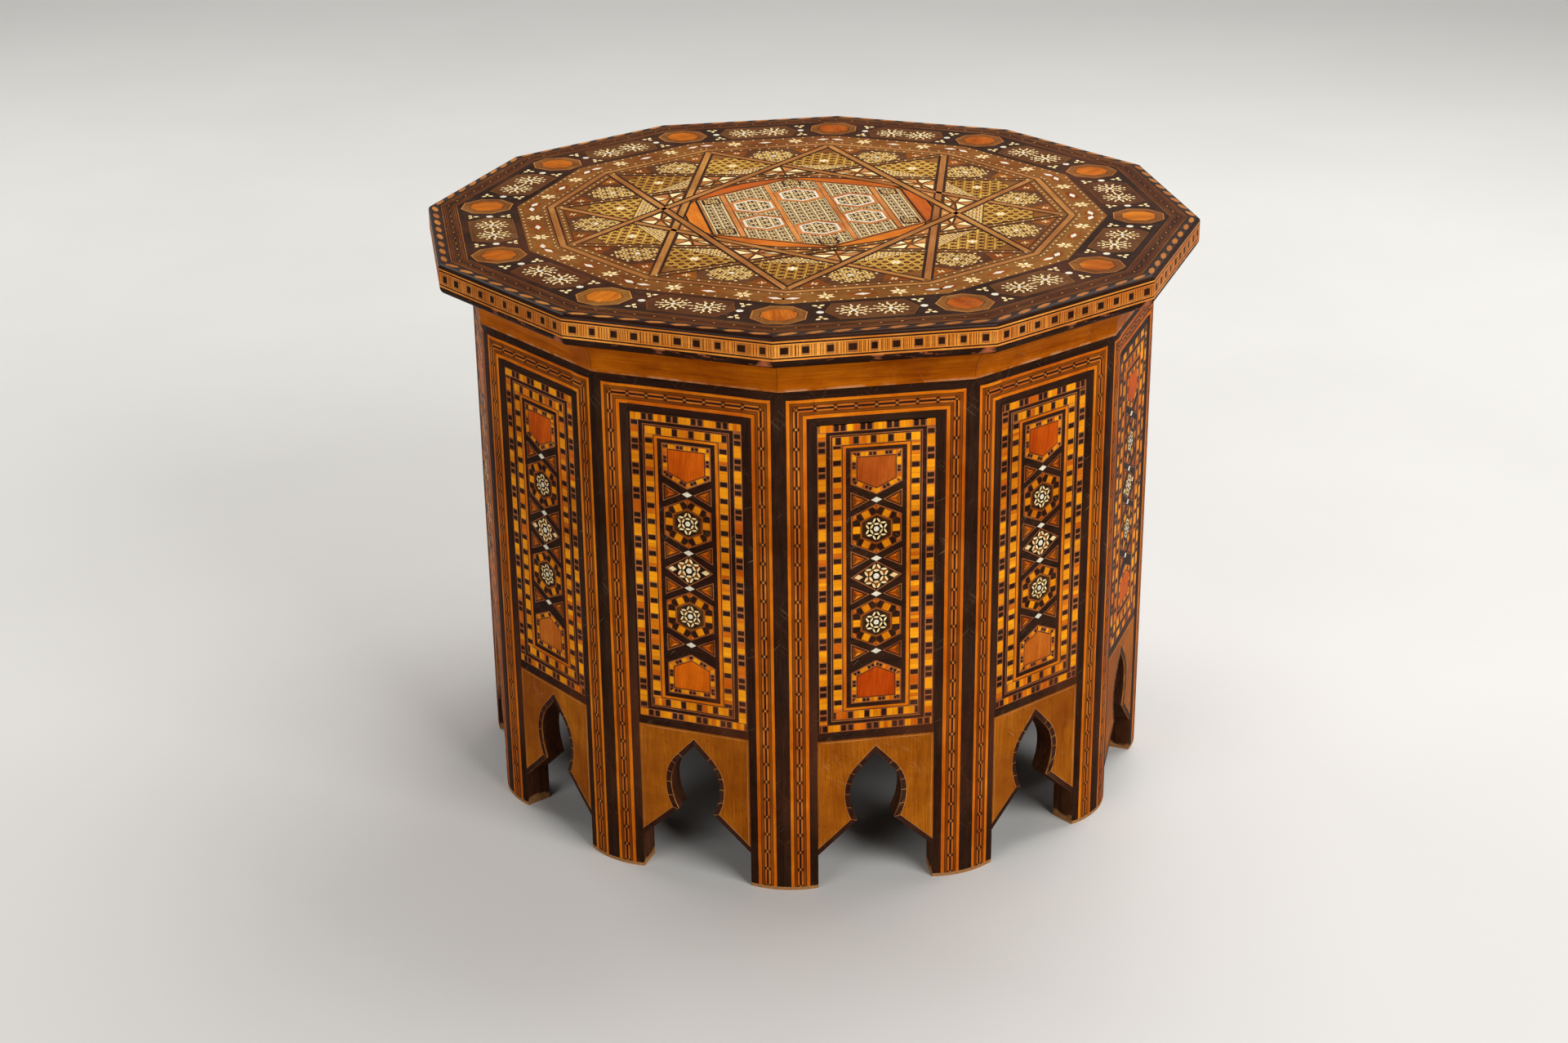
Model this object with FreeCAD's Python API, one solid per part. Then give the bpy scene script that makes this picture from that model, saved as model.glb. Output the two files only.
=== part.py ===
"""Twelve-sided inlaid side table, in millimetres, +Z up, with its origin on the floor under its centre.

Rounded posts stand at the corners and run down as feet. Arched panels are tongued between them, mitred
cove rails sit on top, and the top is a core of planks with a mitred edge, a border, a star field and a
round centre laid over it. Side 01 faces -Y, and the sides and posts are numbered anticlockwise.
"""
import FreeCAD, Part
import math
import os

# Overall sizes
SIDES = 12
HEIGHT = 480.0
TOP_ACROSS_FLATS = 622.0
BODY_ACROSS_FLATS = 558.0

# The top
TOP_THICKNESS = 25.5
TOP_VENEER = 3.0
EDGE_STRIP_WIDTH = 9.0
EDGE_ROUND_UPPER = 3.5
EDGE_ROUND_LOWER = 6.5
BORDER_WIDTH = 19.0
ROUNDEL_RADIUS = 104.0
MIDDLE_PLANK_WIDTH = 210.0

# The cove rails
COVE_HEIGHT = 28.6
COVE_PROUD = 1.5
COVE_FLARE = 17.0
COVE_RADIUS = 22.0
COVE_LIP = 3.0

# The posts, measured from the corner where two side faces would meet
POST_FACE = 28.0
POST_DEPTH = 22.0
POST_BULGE = 5.5

# The side panels, with their veneer
PANEL_THICKNESS = 18.0
PANEL_VENEER = 1.5
SPANDREL_TOP = 131.7

# The arch under each panel, along the outer line of its edging
ARCH_APEX = 125.0
ARCH_KEEL_DROP = 15.0
ARCH_KEEL_HALF_WIDTH = 14.0
ARCH_SPRING = 83.0
ARCH_HALF_WIDTH = 25.5
ARCH_NECK = 60.0
ARCH_NECK_HALF_WIDTH = 20.5
ARCH_SHOULDER = 36.0
ARCH_EDGING = 4.5

# Tongues and grooves
TONGUE_THICKNESS = 6.0
TONGUE_LENGTH = 8.0
TONGUE_SIDE_CLEARANCE = 0.15
TONGUE_END_CLEARANCE = 0.5

# Blocks, battens and screws inside
BLOCK_LENGTH = 60.0
BLOCK_DEPTH = 22.0
BLOCK_LAP = 14.7
BATTEN_WIDTH = 40.0
BATTEN_THICKNESS = 18.0
BATTEN_OFFSET = 110.0
BATTEN_END_CLEARANCE = 4.0
BATTEN_SCREW_SPACING = 150.0
SCREW_RADIUS = 2.2
SCREW_HEAD_RADIUS = 4.5
SCREW_BITE = 12.0
SCREW_CLEARANCE = 0.1
VENEER_JOINT = 0.05

# Values worked out from the sizes above
STEP = 360.0 / SIDES
HALF_STEP = math.radians(STEP / 2)
FIRST_SIDE_ANGLE = -90.0
TOP_APOTHEM = TOP_ACROSS_FLATS / 2
CORE_APOTHEM = TOP_APOTHEM - EDGE_STRIP_WIDTH
FIELD_APOTHEM = CORE_APOTHEM - BORDER_WIDTH
FACE_APOTHEM = BODY_ACROSS_FLATS / 2
BOARD_APOTHEM = FACE_APOTHEM - PANEL_VENEER
INSIDE_APOTHEM = FACE_APOTHEM - PANEL_THICKNESS
BOARD_MIDDLE = (BOARD_APOTHEM + INSIDE_APOTHEM) / 2
TOP_UNDERSIDE = HEIGHT - TOP_THICKNESS
CORE_TOP = HEIGHT - TOP_VENEER
CORE_THICKNESS = CORE_TOP - TOP_UNDERSIDE
BODY_TOP = TOP_UNDERSIDE - COVE_HEIGHT
PANEL_HALF_WIDTH = FACE_APOTHEM * math.tan(HALF_STEP) - POST_FACE
BLOCK_BOTTOM = BODY_TOP - BLOCK_LAP
Z_AXIS = FreeCAD.Vector(0, 0, 1)


def vector(x, y, z):
    return FreeCAD.Vector(x, y, z)


def turned(shape, degrees):
    """A copy of a shape, turned about the table's axis."""
    copy = shape.copy()
    copy.rotate(vector(0, 0, 0), Z_AXIS, degrees)
    return copy


def side_angle(index):
    return FIRST_SIDE_ANGLE + index * STEP


def post_angle(index):
    return side_angle(index) + STEP / 2


def box(x, y, z):
    """A box from its (low, high) spans."""
    size = [high - low for low, high in (x, y, z)]
    return Part.makeBox(*size, vector(x[0], y[0], z[0]))


def line(start, end):
    return Part.LineSegment(start, end).toShape()


def arc(start, middle, end):
    return Part.Arc(start, middle, end).toShape()


def solid(edges, along):
    """The solid swept by a closed outline."""
    return Part.Face(Part.Wire(edges)).extrude(along)


def mitred(edges):
    """A profile in the plane y = 0, run along one side and mitred at that side's two corners."""
    reach = TOP_APOTHEM * 2
    half = reach * math.tan(HALF_STEP)
    corners = [vector(0, 0, 0), vector(reach, -half, 0), vector(reach, half, 0)]
    sector = Part.Face(Part.makePolygon(corners + corners[:1])).extrude(Z_AXIS * HEIGHT)
    run = solid(edges, vector(0, 2 * half, 0))
    run.translate(vector(0, -half, 0))
    return run.common(sector)


def polygon_prism(apothem, z):
    """An upright prism with the table's own number of sides."""
    radius = apothem / math.cos(HALF_STEP)
    angles = [math.radians(post_angle(index)) for index in range(SIDES)]
    points = [vector(radius * math.cos(a), radius * math.sin(a), z[0]) for a in angles]
    return Part.Face(Part.makePolygon(points + points[:1])).extrude(Z_AXIS * (z[1] - z[0]))


def arch_arc(half_width, z):
    """The centre and the radius of an arc of the arch, from its widest point to a point at that height."""
    narrowing = ARCH_HALF_WIDTH - half_width
    radius = (narrowing ** 2 + (z - ARCH_SPRING) ** 2) / (2 * narrowing)
    return vector(0, ARCH_HALF_WIDTH - radius, ARCH_SPRING), radius


def inner_line(point, way, inset):
    """A point on a line of the arch, moved into the opening by the inset."""
    return point + vector(0, way.z, -way.y) * inset


def inner_corner(point, way, centre, radius):
    """Where a line of the arch meets an arc: the inset shows in the line's point and the arc's radius."""
    along = (point - centre).dot(way)
    root = math.sqrt(along ** 2 - (point - centre).dot(point - centre) + radius ** 2)
    return point + way * (math.copysign(root, along) - along)


def arch_outline(x, inset):
    """Edges of the arch from its right foot to its left foot, at the depth x, moved in by the inset.

    Each half is a slant from the panel's edge to the neck, an arc out to the widest point, an arc up to
    the keel and a straight line to the apex. The two arcs meet upright at the widest point.
    """
    full_neck = vector(0, ARCH_NECK_HALF_WIDTH, ARCH_NECK)
    slant = vector(0, PANEL_HALF_WIDTH - full_neck.y, ARCH_SHOULDER - full_neck.z).normalize()
    slant_point = inner_line(full_neck, slant, inset)
    lower_centre, lower = arch_arc(full_neck.y, full_neck.z)
    neck = inner_corner(slant_point, slant, lower_centre, lower - inset)
    foot = slant_point + slant * ((PANEL_HALF_WIDTH - slant_point.y) / slant.y)

    full_keel = vector(0, ARCH_KEEL_HALF_WIDTH, ARCH_APEX - ARCH_KEEL_DROP)
    fall = vector(0, ARCH_KEEL_HALF_WIDTH, -ARCH_KEEL_DROP).normalize()
    keel_point = inner_line(full_keel, fall, inset)
    upper_centre, upper = arch_arc(full_keel.y, full_keel.z)
    keel = inner_corner(keel_point, fall, upper_centre, upper - inset)
    apex = keel_point - fall * (keel_point.y / fall.y)

    def half_way(centre, radius, end):
        angle = math.asin((end.z - centre.z) / radius) / 2
        return centre + vector(0, math.cos(angle), math.sin(angle)) * radius

    widest = vector(0, ARCH_HALF_WIDTH - inset, ARCH_SPRING)
    points = [foot, neck, half_way(lower_centre, lower - inset, neck), widest,
              half_way(upper_centre, upper - inset, keel), keel, apex]
    right = [vector(x, p.y, p.z) for p in points]
    left = [vector(x, -p.y, p.z) for p in points]
    edges = [line(*right[0:2]), arc(*right[1:4]), arc(*right[3:6]), line(*right[5:7])]
    edges += [line(*left[6:4:-1]), arc(*left[5:2:-1]), arc(*left[3:0:-1]), line(*left[1::-1])]
    return edges, right[0], left[0]


def arched_board(x, inset, top, thickness):
    """A board as wide as a panel, with the arch cut from its foot."""
    edges, right_foot, left_foot = arch_outline(x, inset)
    left_top = vector(x, -PANEL_HALF_WIDTH, top)
    right_top = vector(x, PANEL_HALF_WIDTH, top)
    edges += [line(left_foot, left_top), line(left_top, right_top), line(right_top, right_foot)]
    return solid(edges, vector(thickness, 0, 0))


def panel_tongue(side, thickness_clearance, end_clearance):
    """The tongue on one upright edge of a panel, or the cut that takes it if clearances are given."""
    half = TONGUE_THICKNESS / 2 + thickness_clearance
    ends = sorted([side * PANEL_HALF_WIDTH, side * (PANEL_HALF_WIDTH + TONGUE_LENGTH + end_clearance)])
    return box((BOARD_MIDDLE - half, BOARD_MIDDLE + half), ends, (ARCH_SHOULDER - end_clearance, BODY_TOP))


def cove_tongue(thickness_clearance, end_clearance):
    """The tongue under a cove rail, or the groove that takes it in the top of a panel."""
    half = TONGUE_THICKNESS / 2 + thickness_clearance
    reach = PANEL_HALF_WIDTH - TONGUE_LENGTH + end_clearance
    bottom = BODY_TOP - TONGUE_LENGTH - end_clearance
    return box((BOARD_MIDDLE - half, BOARD_MIDDLE + half), (-reach, reach), (bottom, BODY_TOP))


def side_panel():
    board = arched_board(INSIDE_APOTHEM, ARCH_EDGING, BODY_TOP, BOARD_APOTHEM - INSIDE_APOTHEM)
    tongues = [panel_tongue(side, 0, 0) for side in (-1, 1)]
    groove = cove_tongue(TONGUE_SIDE_CLEARANCE, TONGUE_END_CLEARANCE)
    return board.fuse(tongues).cut(groove).removeSplitter()


def corner_post():
    """A post pointing along +X: a rounded face, two sides square to its panels and a flat back."""
    corner = vector(FACE_APOTHEM / math.cos(HALF_STEP), 0, 0)
    along_side = vector(-math.sin(HALF_STEP), math.cos(HALF_STEP), 0)
    inwards = vector(-math.cos(HALF_STEP), -math.sin(HALF_STEP), 0)
    left = corner + along_side * POST_FACE
    left_back = left + inwards * POST_DEPTH
    right, right_back = [vector(p.x, -p.y, 0) for p in (left, left_back)]
    nose = vector(left.x + POST_BULGE, 0, 0)
    edges = [arc(right, nose, left), line(left, left_back), line(left_back, right_back)]
    post = solid(edges + [line(right_back, right)], Z_AXIS * BODY_TOP)
    for side in (-1, 1):
        groove = panel_tongue(-side, TONGUE_SIDE_CLEARANCE, TONGUE_END_CLEARANCE)
        post = post.cut(turned(groove, side * STEP / 2))
    return post


def cove_rail():
    """A rail with a straight foot, a hollow that sweeps out and an upright lip under the top."""
    foot = FACE_APOTHEM + COVE_PROUD
    lip = FACE_APOTHEM + COVE_FLARE
    sweep = math.acos((COVE_RADIUS - COVE_FLARE + COVE_PROUD) / COVE_RADIUS)
    lip_bottom = TOP_UNDERSIDE - COVE_LIP
    hollow_bottom = lip_bottom - COVE_RADIUS * math.sin(sweep)
    hollow_middle = vector(foot + COVE_RADIUS * (1 - math.cos(sweep / 2)), 0,
                           hollow_bottom + COVE_RADIUS * math.sin(sweep / 2))
    corners = [vector(lip, 0, lip_bottom), vector(lip, 0, TOP_UNDERSIDE),
               vector(INSIDE_APOTHEM, 0, TOP_UNDERSIDE), vector(INSIDE_APOTHEM, 0, BODY_TOP),
               vector(foot, 0, BODY_TOP), vector(foot, 0, hollow_bottom)]
    edges = [line(start, end) for start, end in zip(corners, corners[1:])]
    rail = mitred(edges + [arc(corners[-1], hollow_middle, corners[0])])
    return rail.fuse(cove_tongue(0, 0)).removeSplitter()


def edge_strip():
    """A strip round the top, with its upper and lower outer edges rounded."""
    turn = 1 - math.sqrt(0.5)
    upper = [vector(TOP_APOTHEM, 0, HEIGHT - EDGE_ROUND_UPPER),
             vector(TOP_APOTHEM - EDGE_ROUND_UPPER * turn, 0, HEIGHT - EDGE_ROUND_UPPER * turn),
             vector(TOP_APOTHEM - EDGE_ROUND_UPPER, 0, HEIGHT)]
    lower = [vector(TOP_APOTHEM - EDGE_ROUND_LOWER, 0, TOP_UNDERSIDE),
             vector(TOP_APOTHEM - EDGE_ROUND_LOWER * turn, 0, TOP_UNDERSIDE + EDGE_ROUND_LOWER * turn),
             vector(TOP_APOTHEM, 0, TOP_UNDERSIDE + EDGE_ROUND_LOWER)]
    inner = [vector(CORE_APOTHEM, 0, HEIGHT), vector(CORE_APOTHEM, 0, TOP_UNDERSIDE)]
    edges = [arc(*lower), line(lower[2], upper[0]), arc(*upper), line(upper[2], inner[0])]
    return mitred(edges + [line(inner[0], inner[1]), line(inner[1], lower[0])])


def border_strip():
    corners = [vector(FIELD_APOTHEM, 0, CORE_TOP), vector(CORE_APOTHEM, 0, CORE_TOP),
               vector(CORE_APOTHEM, 0, HEIGHT), vector(FIELD_APOTHEM, 0, HEIGHT)]
    return mitred([line(start, end) for start, end in zip(corners, corners[1:] + corners[:1])])


def screw(length, clearance=0.0):
    """A countersunk screw that points up from its head at z = 0, or its hole if a clearance is given."""
    head_depth = SCREW_HEAD_RADIUS - SCREW_RADIUS
    head = Part.makeCone(SCREW_HEAD_RADIUS + clearance, SCREW_RADIUS + clearance, head_depth)
    shank = Part.makeCylinder(SCREW_RADIUS + clearance, length + clearance)
    return head.fuse(shank).removeSplitter()


def screw_places():
    """Where each screw's head sits, and how long the screw is."""
    places = []
    for index in range(SIDES):
        angle = math.radians(side_angle(index))
        out = INSIDE_APOTHEM - BLOCK_DEPTH / 2
        places.append((vector(out * math.cos(angle), out * math.sin(angle), BLOCK_BOTTOM),
                       TOP_UNDERSIDE - BLOCK_BOTTOM + SCREW_BITE))
    batten_bottom = TOP_UNDERSIDE - BATTEN_THICKNESS
    for side in (-1, 1):
        for column in (-1, 0, 1):
            head = vector(column * BATTEN_SCREW_SPACING, side * BATTEN_OFFSET, batten_bottom)
            places.append((head, BATTEN_THICKNESS + SCREW_BITE))
    return places


def placed_screws(clearance=0.0):
    shapes = []
    for head, length in screw_places():
        shape = screw(length, clearance)
        shape.translate(head)
        shapes.append(shape)
    return shapes


def planks():
    """The core of the top in three boards, the middle one tongued into the outer two."""
    core = polygon_prism(CORE_APOTHEM, (TOP_UNDERSIDE, CORE_TOP))
    joint = MIDDLE_PLANK_WIDTH / 2
    middle_z = TOP_UNDERSIDE + CORE_THICKNESS / 2

    def strip(reach, z_half):
        return box((-reach, reach), (-TOP_APOTHEM, TOP_APOTHEM), (middle_z - z_half, middle_z + z_half))

    full = CORE_THICKNESS / 2
    tongue_half = TONGUE_THICKNESS / 2
    middle = strip(joint, full).fuse(strip(joint + TONGUE_LENGTH, tongue_half)).removeSplitter()
    room = strip(joint, full).fuse(strip(joint + TONGUE_LENGTH + TONGUE_END_CLEARANCE,
                                         tongue_half + TONGUE_SIDE_CLEARANCE))
    sides = sorted(core.cut(room).Solids, key=lambda board: board.CenterOfMass.x)
    boards = {"left": sides[0], "middle": core.common(middle), "right": sides[1]}
    holes = placed_screws(SCREW_CLEARANCE)
    return {name: board.cut(holes) for name, board in boards.items()}


def glue_block():
    return box((INSIDE_APOTHEM - BLOCK_DEPTH, INSIDE_APOTHEM), (-BLOCK_LENGTH / 2, BLOCK_LENGTH / 2),
               (BLOCK_BOTTOM, TOP_UNDERSIDE))


def battens():
    """Two battens across the planks, as long as the blocks leave room for."""
    clear = INSIDE_APOTHEM - BLOCK_DEPTH - BATTEN_END_CLEARANCE
    reach = math.sqrt(clear ** 2 - (BATTEN_OFFSET + BATTEN_WIDTH / 2) ** 2)
    shapes = []
    for side in (-1, 1):
        middle = side * BATTEN_OFFSET
        shapes.append(box((-reach, reach), (middle - BATTEN_WIDTH / 2, middle + BATTEN_WIDTH / 2),
                          (TOP_UNDERSIDE - BATTEN_THICKNESS, TOP_UNDERSIDE)))
    return shapes


def star_field():
    field = polygon_prism(FIELD_APOTHEM, (CORE_TOP, HEIGHT))
    hole = Part.makeCylinder(ROUNDEL_RADIUS, TOP_VENEER, vector(0, 0, CORE_TOP))
    return field.cut(hole)


def roundel():
    return Part.makeCylinder(ROUNDEL_RADIUS - VENEER_JOINT, TOP_VENEER, vector(0, 0, CORE_TOP))


def panel_marquetry():
    return box((BOARD_APOTHEM, FACE_APOTHEM), (-PANEL_HALF_WIDTH, PANEL_HALF_WIDTH), (SPANDREL_TOP, BODY_TOP))


def spandrel_veneer():
    return arched_board(BOARD_APOTHEM, 0, SPANDREL_TOP, PANEL_VENEER)


def arch_edging():
    """The edging between the arch in the spandrel veneer and the arch in the board behind it."""
    outer, outer_right, outer_left = arch_outline(BOARD_APOTHEM, VENEER_JOINT)
    inner, inner_right, inner_left = arch_outline(BOARD_APOTHEM, ARCH_EDGING)
    ends = [line(outer_right, inner_right), line(outer_left, inner_left)]
    return solid(Part.sortEdges(outer + inner + ends)[0], vector(PANEL_VENEER, 0, 0))


def ring(shape):
    """One copy of a shape on every side."""
    return [turned(shape, side_angle(index)) for index in range(SIDES)]


def drilled(shapes):
    """Shapes with the screw holes cut through them."""
    holes = placed_screws(SCREW_CLEARANCE)
    return [shape.cut(holes) for shape in shapes]


def export(name, shape):
    shape.exportStep("parts/" + name + ".step")


def main():
    os.makedirs("parts", exist_ok=True)
    numbered = {"side_panel": side_panel(), "cove_rail": cove_rail(), "top_edge_strip": edge_strip()}
    for name, shape in numbered.items():
        for index, copy in enumerate(ring(shape), start=1):
            export(f"{name}_{index:02d}", copy)
    post = corner_post()
    for index in range(SIDES):
        export(f"corner_post_{index + 1:02d}", turned(post, post_angle(index)))
    for name, board in planks().items():
        export("top_plank_" + name, board)
    export("top_star_field", star_field())
    export("top_roundel", roundel())
    groups = {
        "top_border_banding": ring(border_strip()),
        "panel_marquetry": ring(panel_marquetry()),
        "spandrel_veneers": ring(spandrel_veneer()),
        "arch_edging": ring(arch_edging()),
        "glue_blocks": drilled(ring(glue_block())),
        "top_battens": drilled(battens()),
        "top_screws": placed_screws(),
    }
    for name, shapes in groups.items():
        export(name, Part.makeCompound(shapes))


main()
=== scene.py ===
"""Looks of the twelve-sided inlaid side table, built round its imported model.

The marquetry is drawn flat, in millimetres, on sheets of small pieces, each with its own wood. A sheet is
then laid on a surface of the table: a side panel, a rounded post, the rounded edge of the top or its face.
"""
import math
import random

import bpy
from mathutils import Matrix, Vector


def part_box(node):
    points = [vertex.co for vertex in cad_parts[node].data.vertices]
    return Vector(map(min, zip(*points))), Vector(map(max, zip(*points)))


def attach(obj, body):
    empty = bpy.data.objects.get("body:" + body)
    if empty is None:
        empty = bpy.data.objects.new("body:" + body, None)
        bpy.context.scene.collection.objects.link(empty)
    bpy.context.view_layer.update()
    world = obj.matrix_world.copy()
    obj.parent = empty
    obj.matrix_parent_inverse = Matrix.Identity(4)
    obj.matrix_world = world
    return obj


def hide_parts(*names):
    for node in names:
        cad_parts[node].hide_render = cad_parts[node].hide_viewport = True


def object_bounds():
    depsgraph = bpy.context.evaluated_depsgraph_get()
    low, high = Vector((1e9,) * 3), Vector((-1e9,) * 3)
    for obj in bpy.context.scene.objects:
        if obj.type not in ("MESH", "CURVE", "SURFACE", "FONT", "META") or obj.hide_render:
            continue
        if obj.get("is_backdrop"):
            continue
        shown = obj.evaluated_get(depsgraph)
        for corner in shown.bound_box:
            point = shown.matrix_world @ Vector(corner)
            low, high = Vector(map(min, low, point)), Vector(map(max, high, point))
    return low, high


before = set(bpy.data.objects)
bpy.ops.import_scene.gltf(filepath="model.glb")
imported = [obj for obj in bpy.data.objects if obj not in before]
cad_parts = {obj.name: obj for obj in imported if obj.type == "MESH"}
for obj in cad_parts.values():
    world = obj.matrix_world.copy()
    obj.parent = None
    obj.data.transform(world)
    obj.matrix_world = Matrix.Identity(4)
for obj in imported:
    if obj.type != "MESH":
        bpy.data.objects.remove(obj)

CAD_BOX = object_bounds()
MM = 0.001

# The table's own sizes in millimetres, most of them read from the frame. Side 01 faces -Y.
SIDES = 12
STEP = 360 / SIDES
HALF_STEP = STEP / 2
SPREAD = math.tan(math.radians(HALF_STEP))


def reach(node):
    """How far a node goes towards -Y, and how low and high it is."""
    low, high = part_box(node)
    return -low.y / MM, low.z / MM, high.z / MM


TOP_APOTHEM, TOP_UNDERSIDE, HEIGHT = reach("top_edge_strip_01")
BORDER_APOTHEM = reach("top_border_banding")[0]
FIELD_APOTHEM, CORE_TOP, _ = reach("top_star_field")
ROUNDEL_RADIUS = reach("top_roundel")[0]
FACE_APOTHEM, SPANDREL_TOP, BODY_TOP = reach("panel_marquetry")
BOARD_APOTHEM = reach("side_panel_01")[0]
POST_FACE = 28.0
POST_BULGE = 5.5
HALF_PANEL = FACE_APOTHEM * SPREAD - POST_FACE
EDGE_ROUND_UPPER = 3.5
EDGE_ROUND_LOWER = 6.5

# How the inlay is laid
INLAY_DEPTH = 0.25
INLAY_PROUD = 0.10
LEVEL_RISE = 0.02
CURVE_STEP = 1.4
SMALLEST_AREA = 0.04
SHADE_SPREAD = (0.5, 0.2)
GRAIN_SHIFT = 400


# Flat shapes

def cos(degrees):
    return math.cos(math.radians(degrees))


def sin(degrees):
    return math.sin(math.radians(degrees))


def polar(radius, degrees, at=(0.0, 0.0)):
    return at[0] + radius * cos(degrees), at[1] + radius * sin(degrees)


def turned(outline, degrees, at=(0.0, 0.0), flip=1):
    """An outline turned and moved, after it is mirrored across the X axis if flip is -1."""
    ahead, aside = cos(degrees), sin(degrees)
    return [(at[0] + x * ahead - y * flip * aside, at[1] + x * aside + y * flip * ahead) for x, y in outline]


def regular(count, radius, turn=0.0, at=(0.0, 0.0)):
    return [polar(radius, turn + k * 360 / count, at) for k in range(count)]


def block(low_x, high_x, low_y, high_y):
    return [(low_x, low_y), (high_x, low_y), (high_x, high_y), (low_x, high_y)]


def long_hexagon(half, shoulder, point):
    """A hexagon that points up and down."""
    upper = [(half, shoulder), (0, point), (-half, shoulder)]
    return upper + [(-x, -y) for x, y in upper]


def lozenge(length, width, turn=0.0, at=(0.0, 0.0)):
    return [polar(r / 2, turn + a, at) for r, a in ((length, 0), (width, 90), (length, 180), (width, 270))]


LEAF = ((0.5, 0), (0.22, 0.42), (-0.22, 0.42), (-0.5, 0), (-0.22, -0.42), (0.22, -0.42))


def leaf(length, width, turn=0.0, at=(0.0, 0.0)):
    """A slim shape, pointed at both ends and rounded along its sides."""
    return turned([(x * length, y * width) for x, y in LEAF], turn, at)


def area(outline):
    """Signed area: positive where the outline runs anticlockwise."""
    pairs = zip(outline, outline[1:] + outline[:1])
    return sum(a[0] * b[1] - b[0] * a[1] for a, b in pairs) / 2


def facing(outline):
    """The same outline, run anticlockwise."""
    outline = list(outline)
    return outline if area(outline) > 0 else outline[::-1]


def middle(outline):
    return tuple(sum(p[axis] for p in outline) / len(outline) for axis in (0, 1))


def cut(outline, point, normal):
    """What is left of a convex outline on the side of a line that its normal points to."""
    kept = []
    depth = [(p[0] - point[0]) * normal[0] + (p[1] - point[1]) * normal[1] for p in outline]
    for k, p in enumerate(outline):
        q, here, there = outline[k - 1], depth[k], depth[k - 1]
        if (here < 0) != (there < 0):
            share = there / (there - here)
            kept.append((q[0] + (p[0] - q[0]) * share, q[1] + (p[1] - q[1]) * share))
        if here >= 0:
            kept.append(p)
    return kept


def edges(outline):
    """Each edge's start, its inward normal and its length, on an anticlockwise outline."""
    for p, q in zip(outline, outline[1:] + outline[:1]):
        length = math.dist(p, q)
        if length > 1e-6:
            yield p, ((p[1] - q[1]) / length, (q[0] - p[0]) / length), length


def clipped(outline, cell):
    """The part of a convex outline inside a convex cell."""
    for point, normal, _ in edges(facing(cell)):
        outline = cut(outline, point, normal)
    return outline


def inset(outline, distance):
    """A convex outline moved inwards all round."""
    result = outline = facing(outline)
    for point, normal, _ in edges(outline):
        moved = (point[0] + normal[0] * distance, point[1] + normal[1] * distance)
        result = cut(result, moved, normal)
    return result


def mitres(outline, width):
    """The strips of a border inside an outline, cut at the mitres: each strip's own outline, its start,
    the way it runs and its length."""
    sides = list(edges(facing(outline)))
    inner = []
    for k, (point, normal, _) in enumerate(sides):
        before = sides[k - 1][1]
        share = width / (1 + before[0] * normal[0] + before[1] * normal[1])
        inner.append(tuple(point[axis] + (before[axis] + normal[axis]) * share for axis in (0, 1)))
    for k, (point, normal, length) in enumerate(sides):
        following = (k + 1) % len(sides)
        strip = [point, sides[following][0], inner[following], inner[k]]
        yield strip, point, math.degrees(math.atan2(-normal[0], normal[1])), length


class Sheet:
    """Pieces of inlay drawn flat: each has an outline, a wood, the way its grain runs and a level."""

    def __init__(self):
        self.pieces = []

    def add(self, outline, wood_name, grain=0.0, level=1):
        outline = facing(outline)
        if len(outline) > 2 and area(outline) > SMALLEST_AREA:
            self.pieces.append((outline, wood_name, grain, level))

    def dot(self, at, radius, level, wood_name="bone", corners=6):
        self.add(regular(corners, radius, 0, at), wood_name, 0, level)

    def put(self, other, turn=0.0, at=(0.0, 0.0), flip=1, cell=None, lift=0):
        """Adds another sheet's pieces, turned, moved and mirrored. They can be clipped to a convex cell
        and lifted by some levels."""
        for outline, wood_name, grain, level in other.pieces:
            moved = turned(outline, turn, at, flip)
            moved = clipped(moved, cell) if cell else moved
            self.add(moved, wood_name, turn + grain * flip, level + lift)

    def nest(self, outline, layers, grain=0.0, level=1):
        """Layers of wood inside each other: each is as wide as it says, and what is left is returned."""
        for wood_name, width in layers:
            self.add(outline, wood_name, grain, level)
            outline = inset(outline, width)
            level += 1
        return outline

    def mirrored(self):
        """This half and its mirror image across the Y axis."""
        whole = Sheet()
        whole.put(self)
        whole.put(self, 180, flip=-1)
        return whole


# Materials. Colours are written as sRGB bytes.

def linear(colour):
    shares = [value / 255 for value in colour]
    return [s / 12.92 if s <= 0.04045 else ((s + 0.055) / 1.055) ** 2.4 for s in shares] + [1.0]


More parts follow.
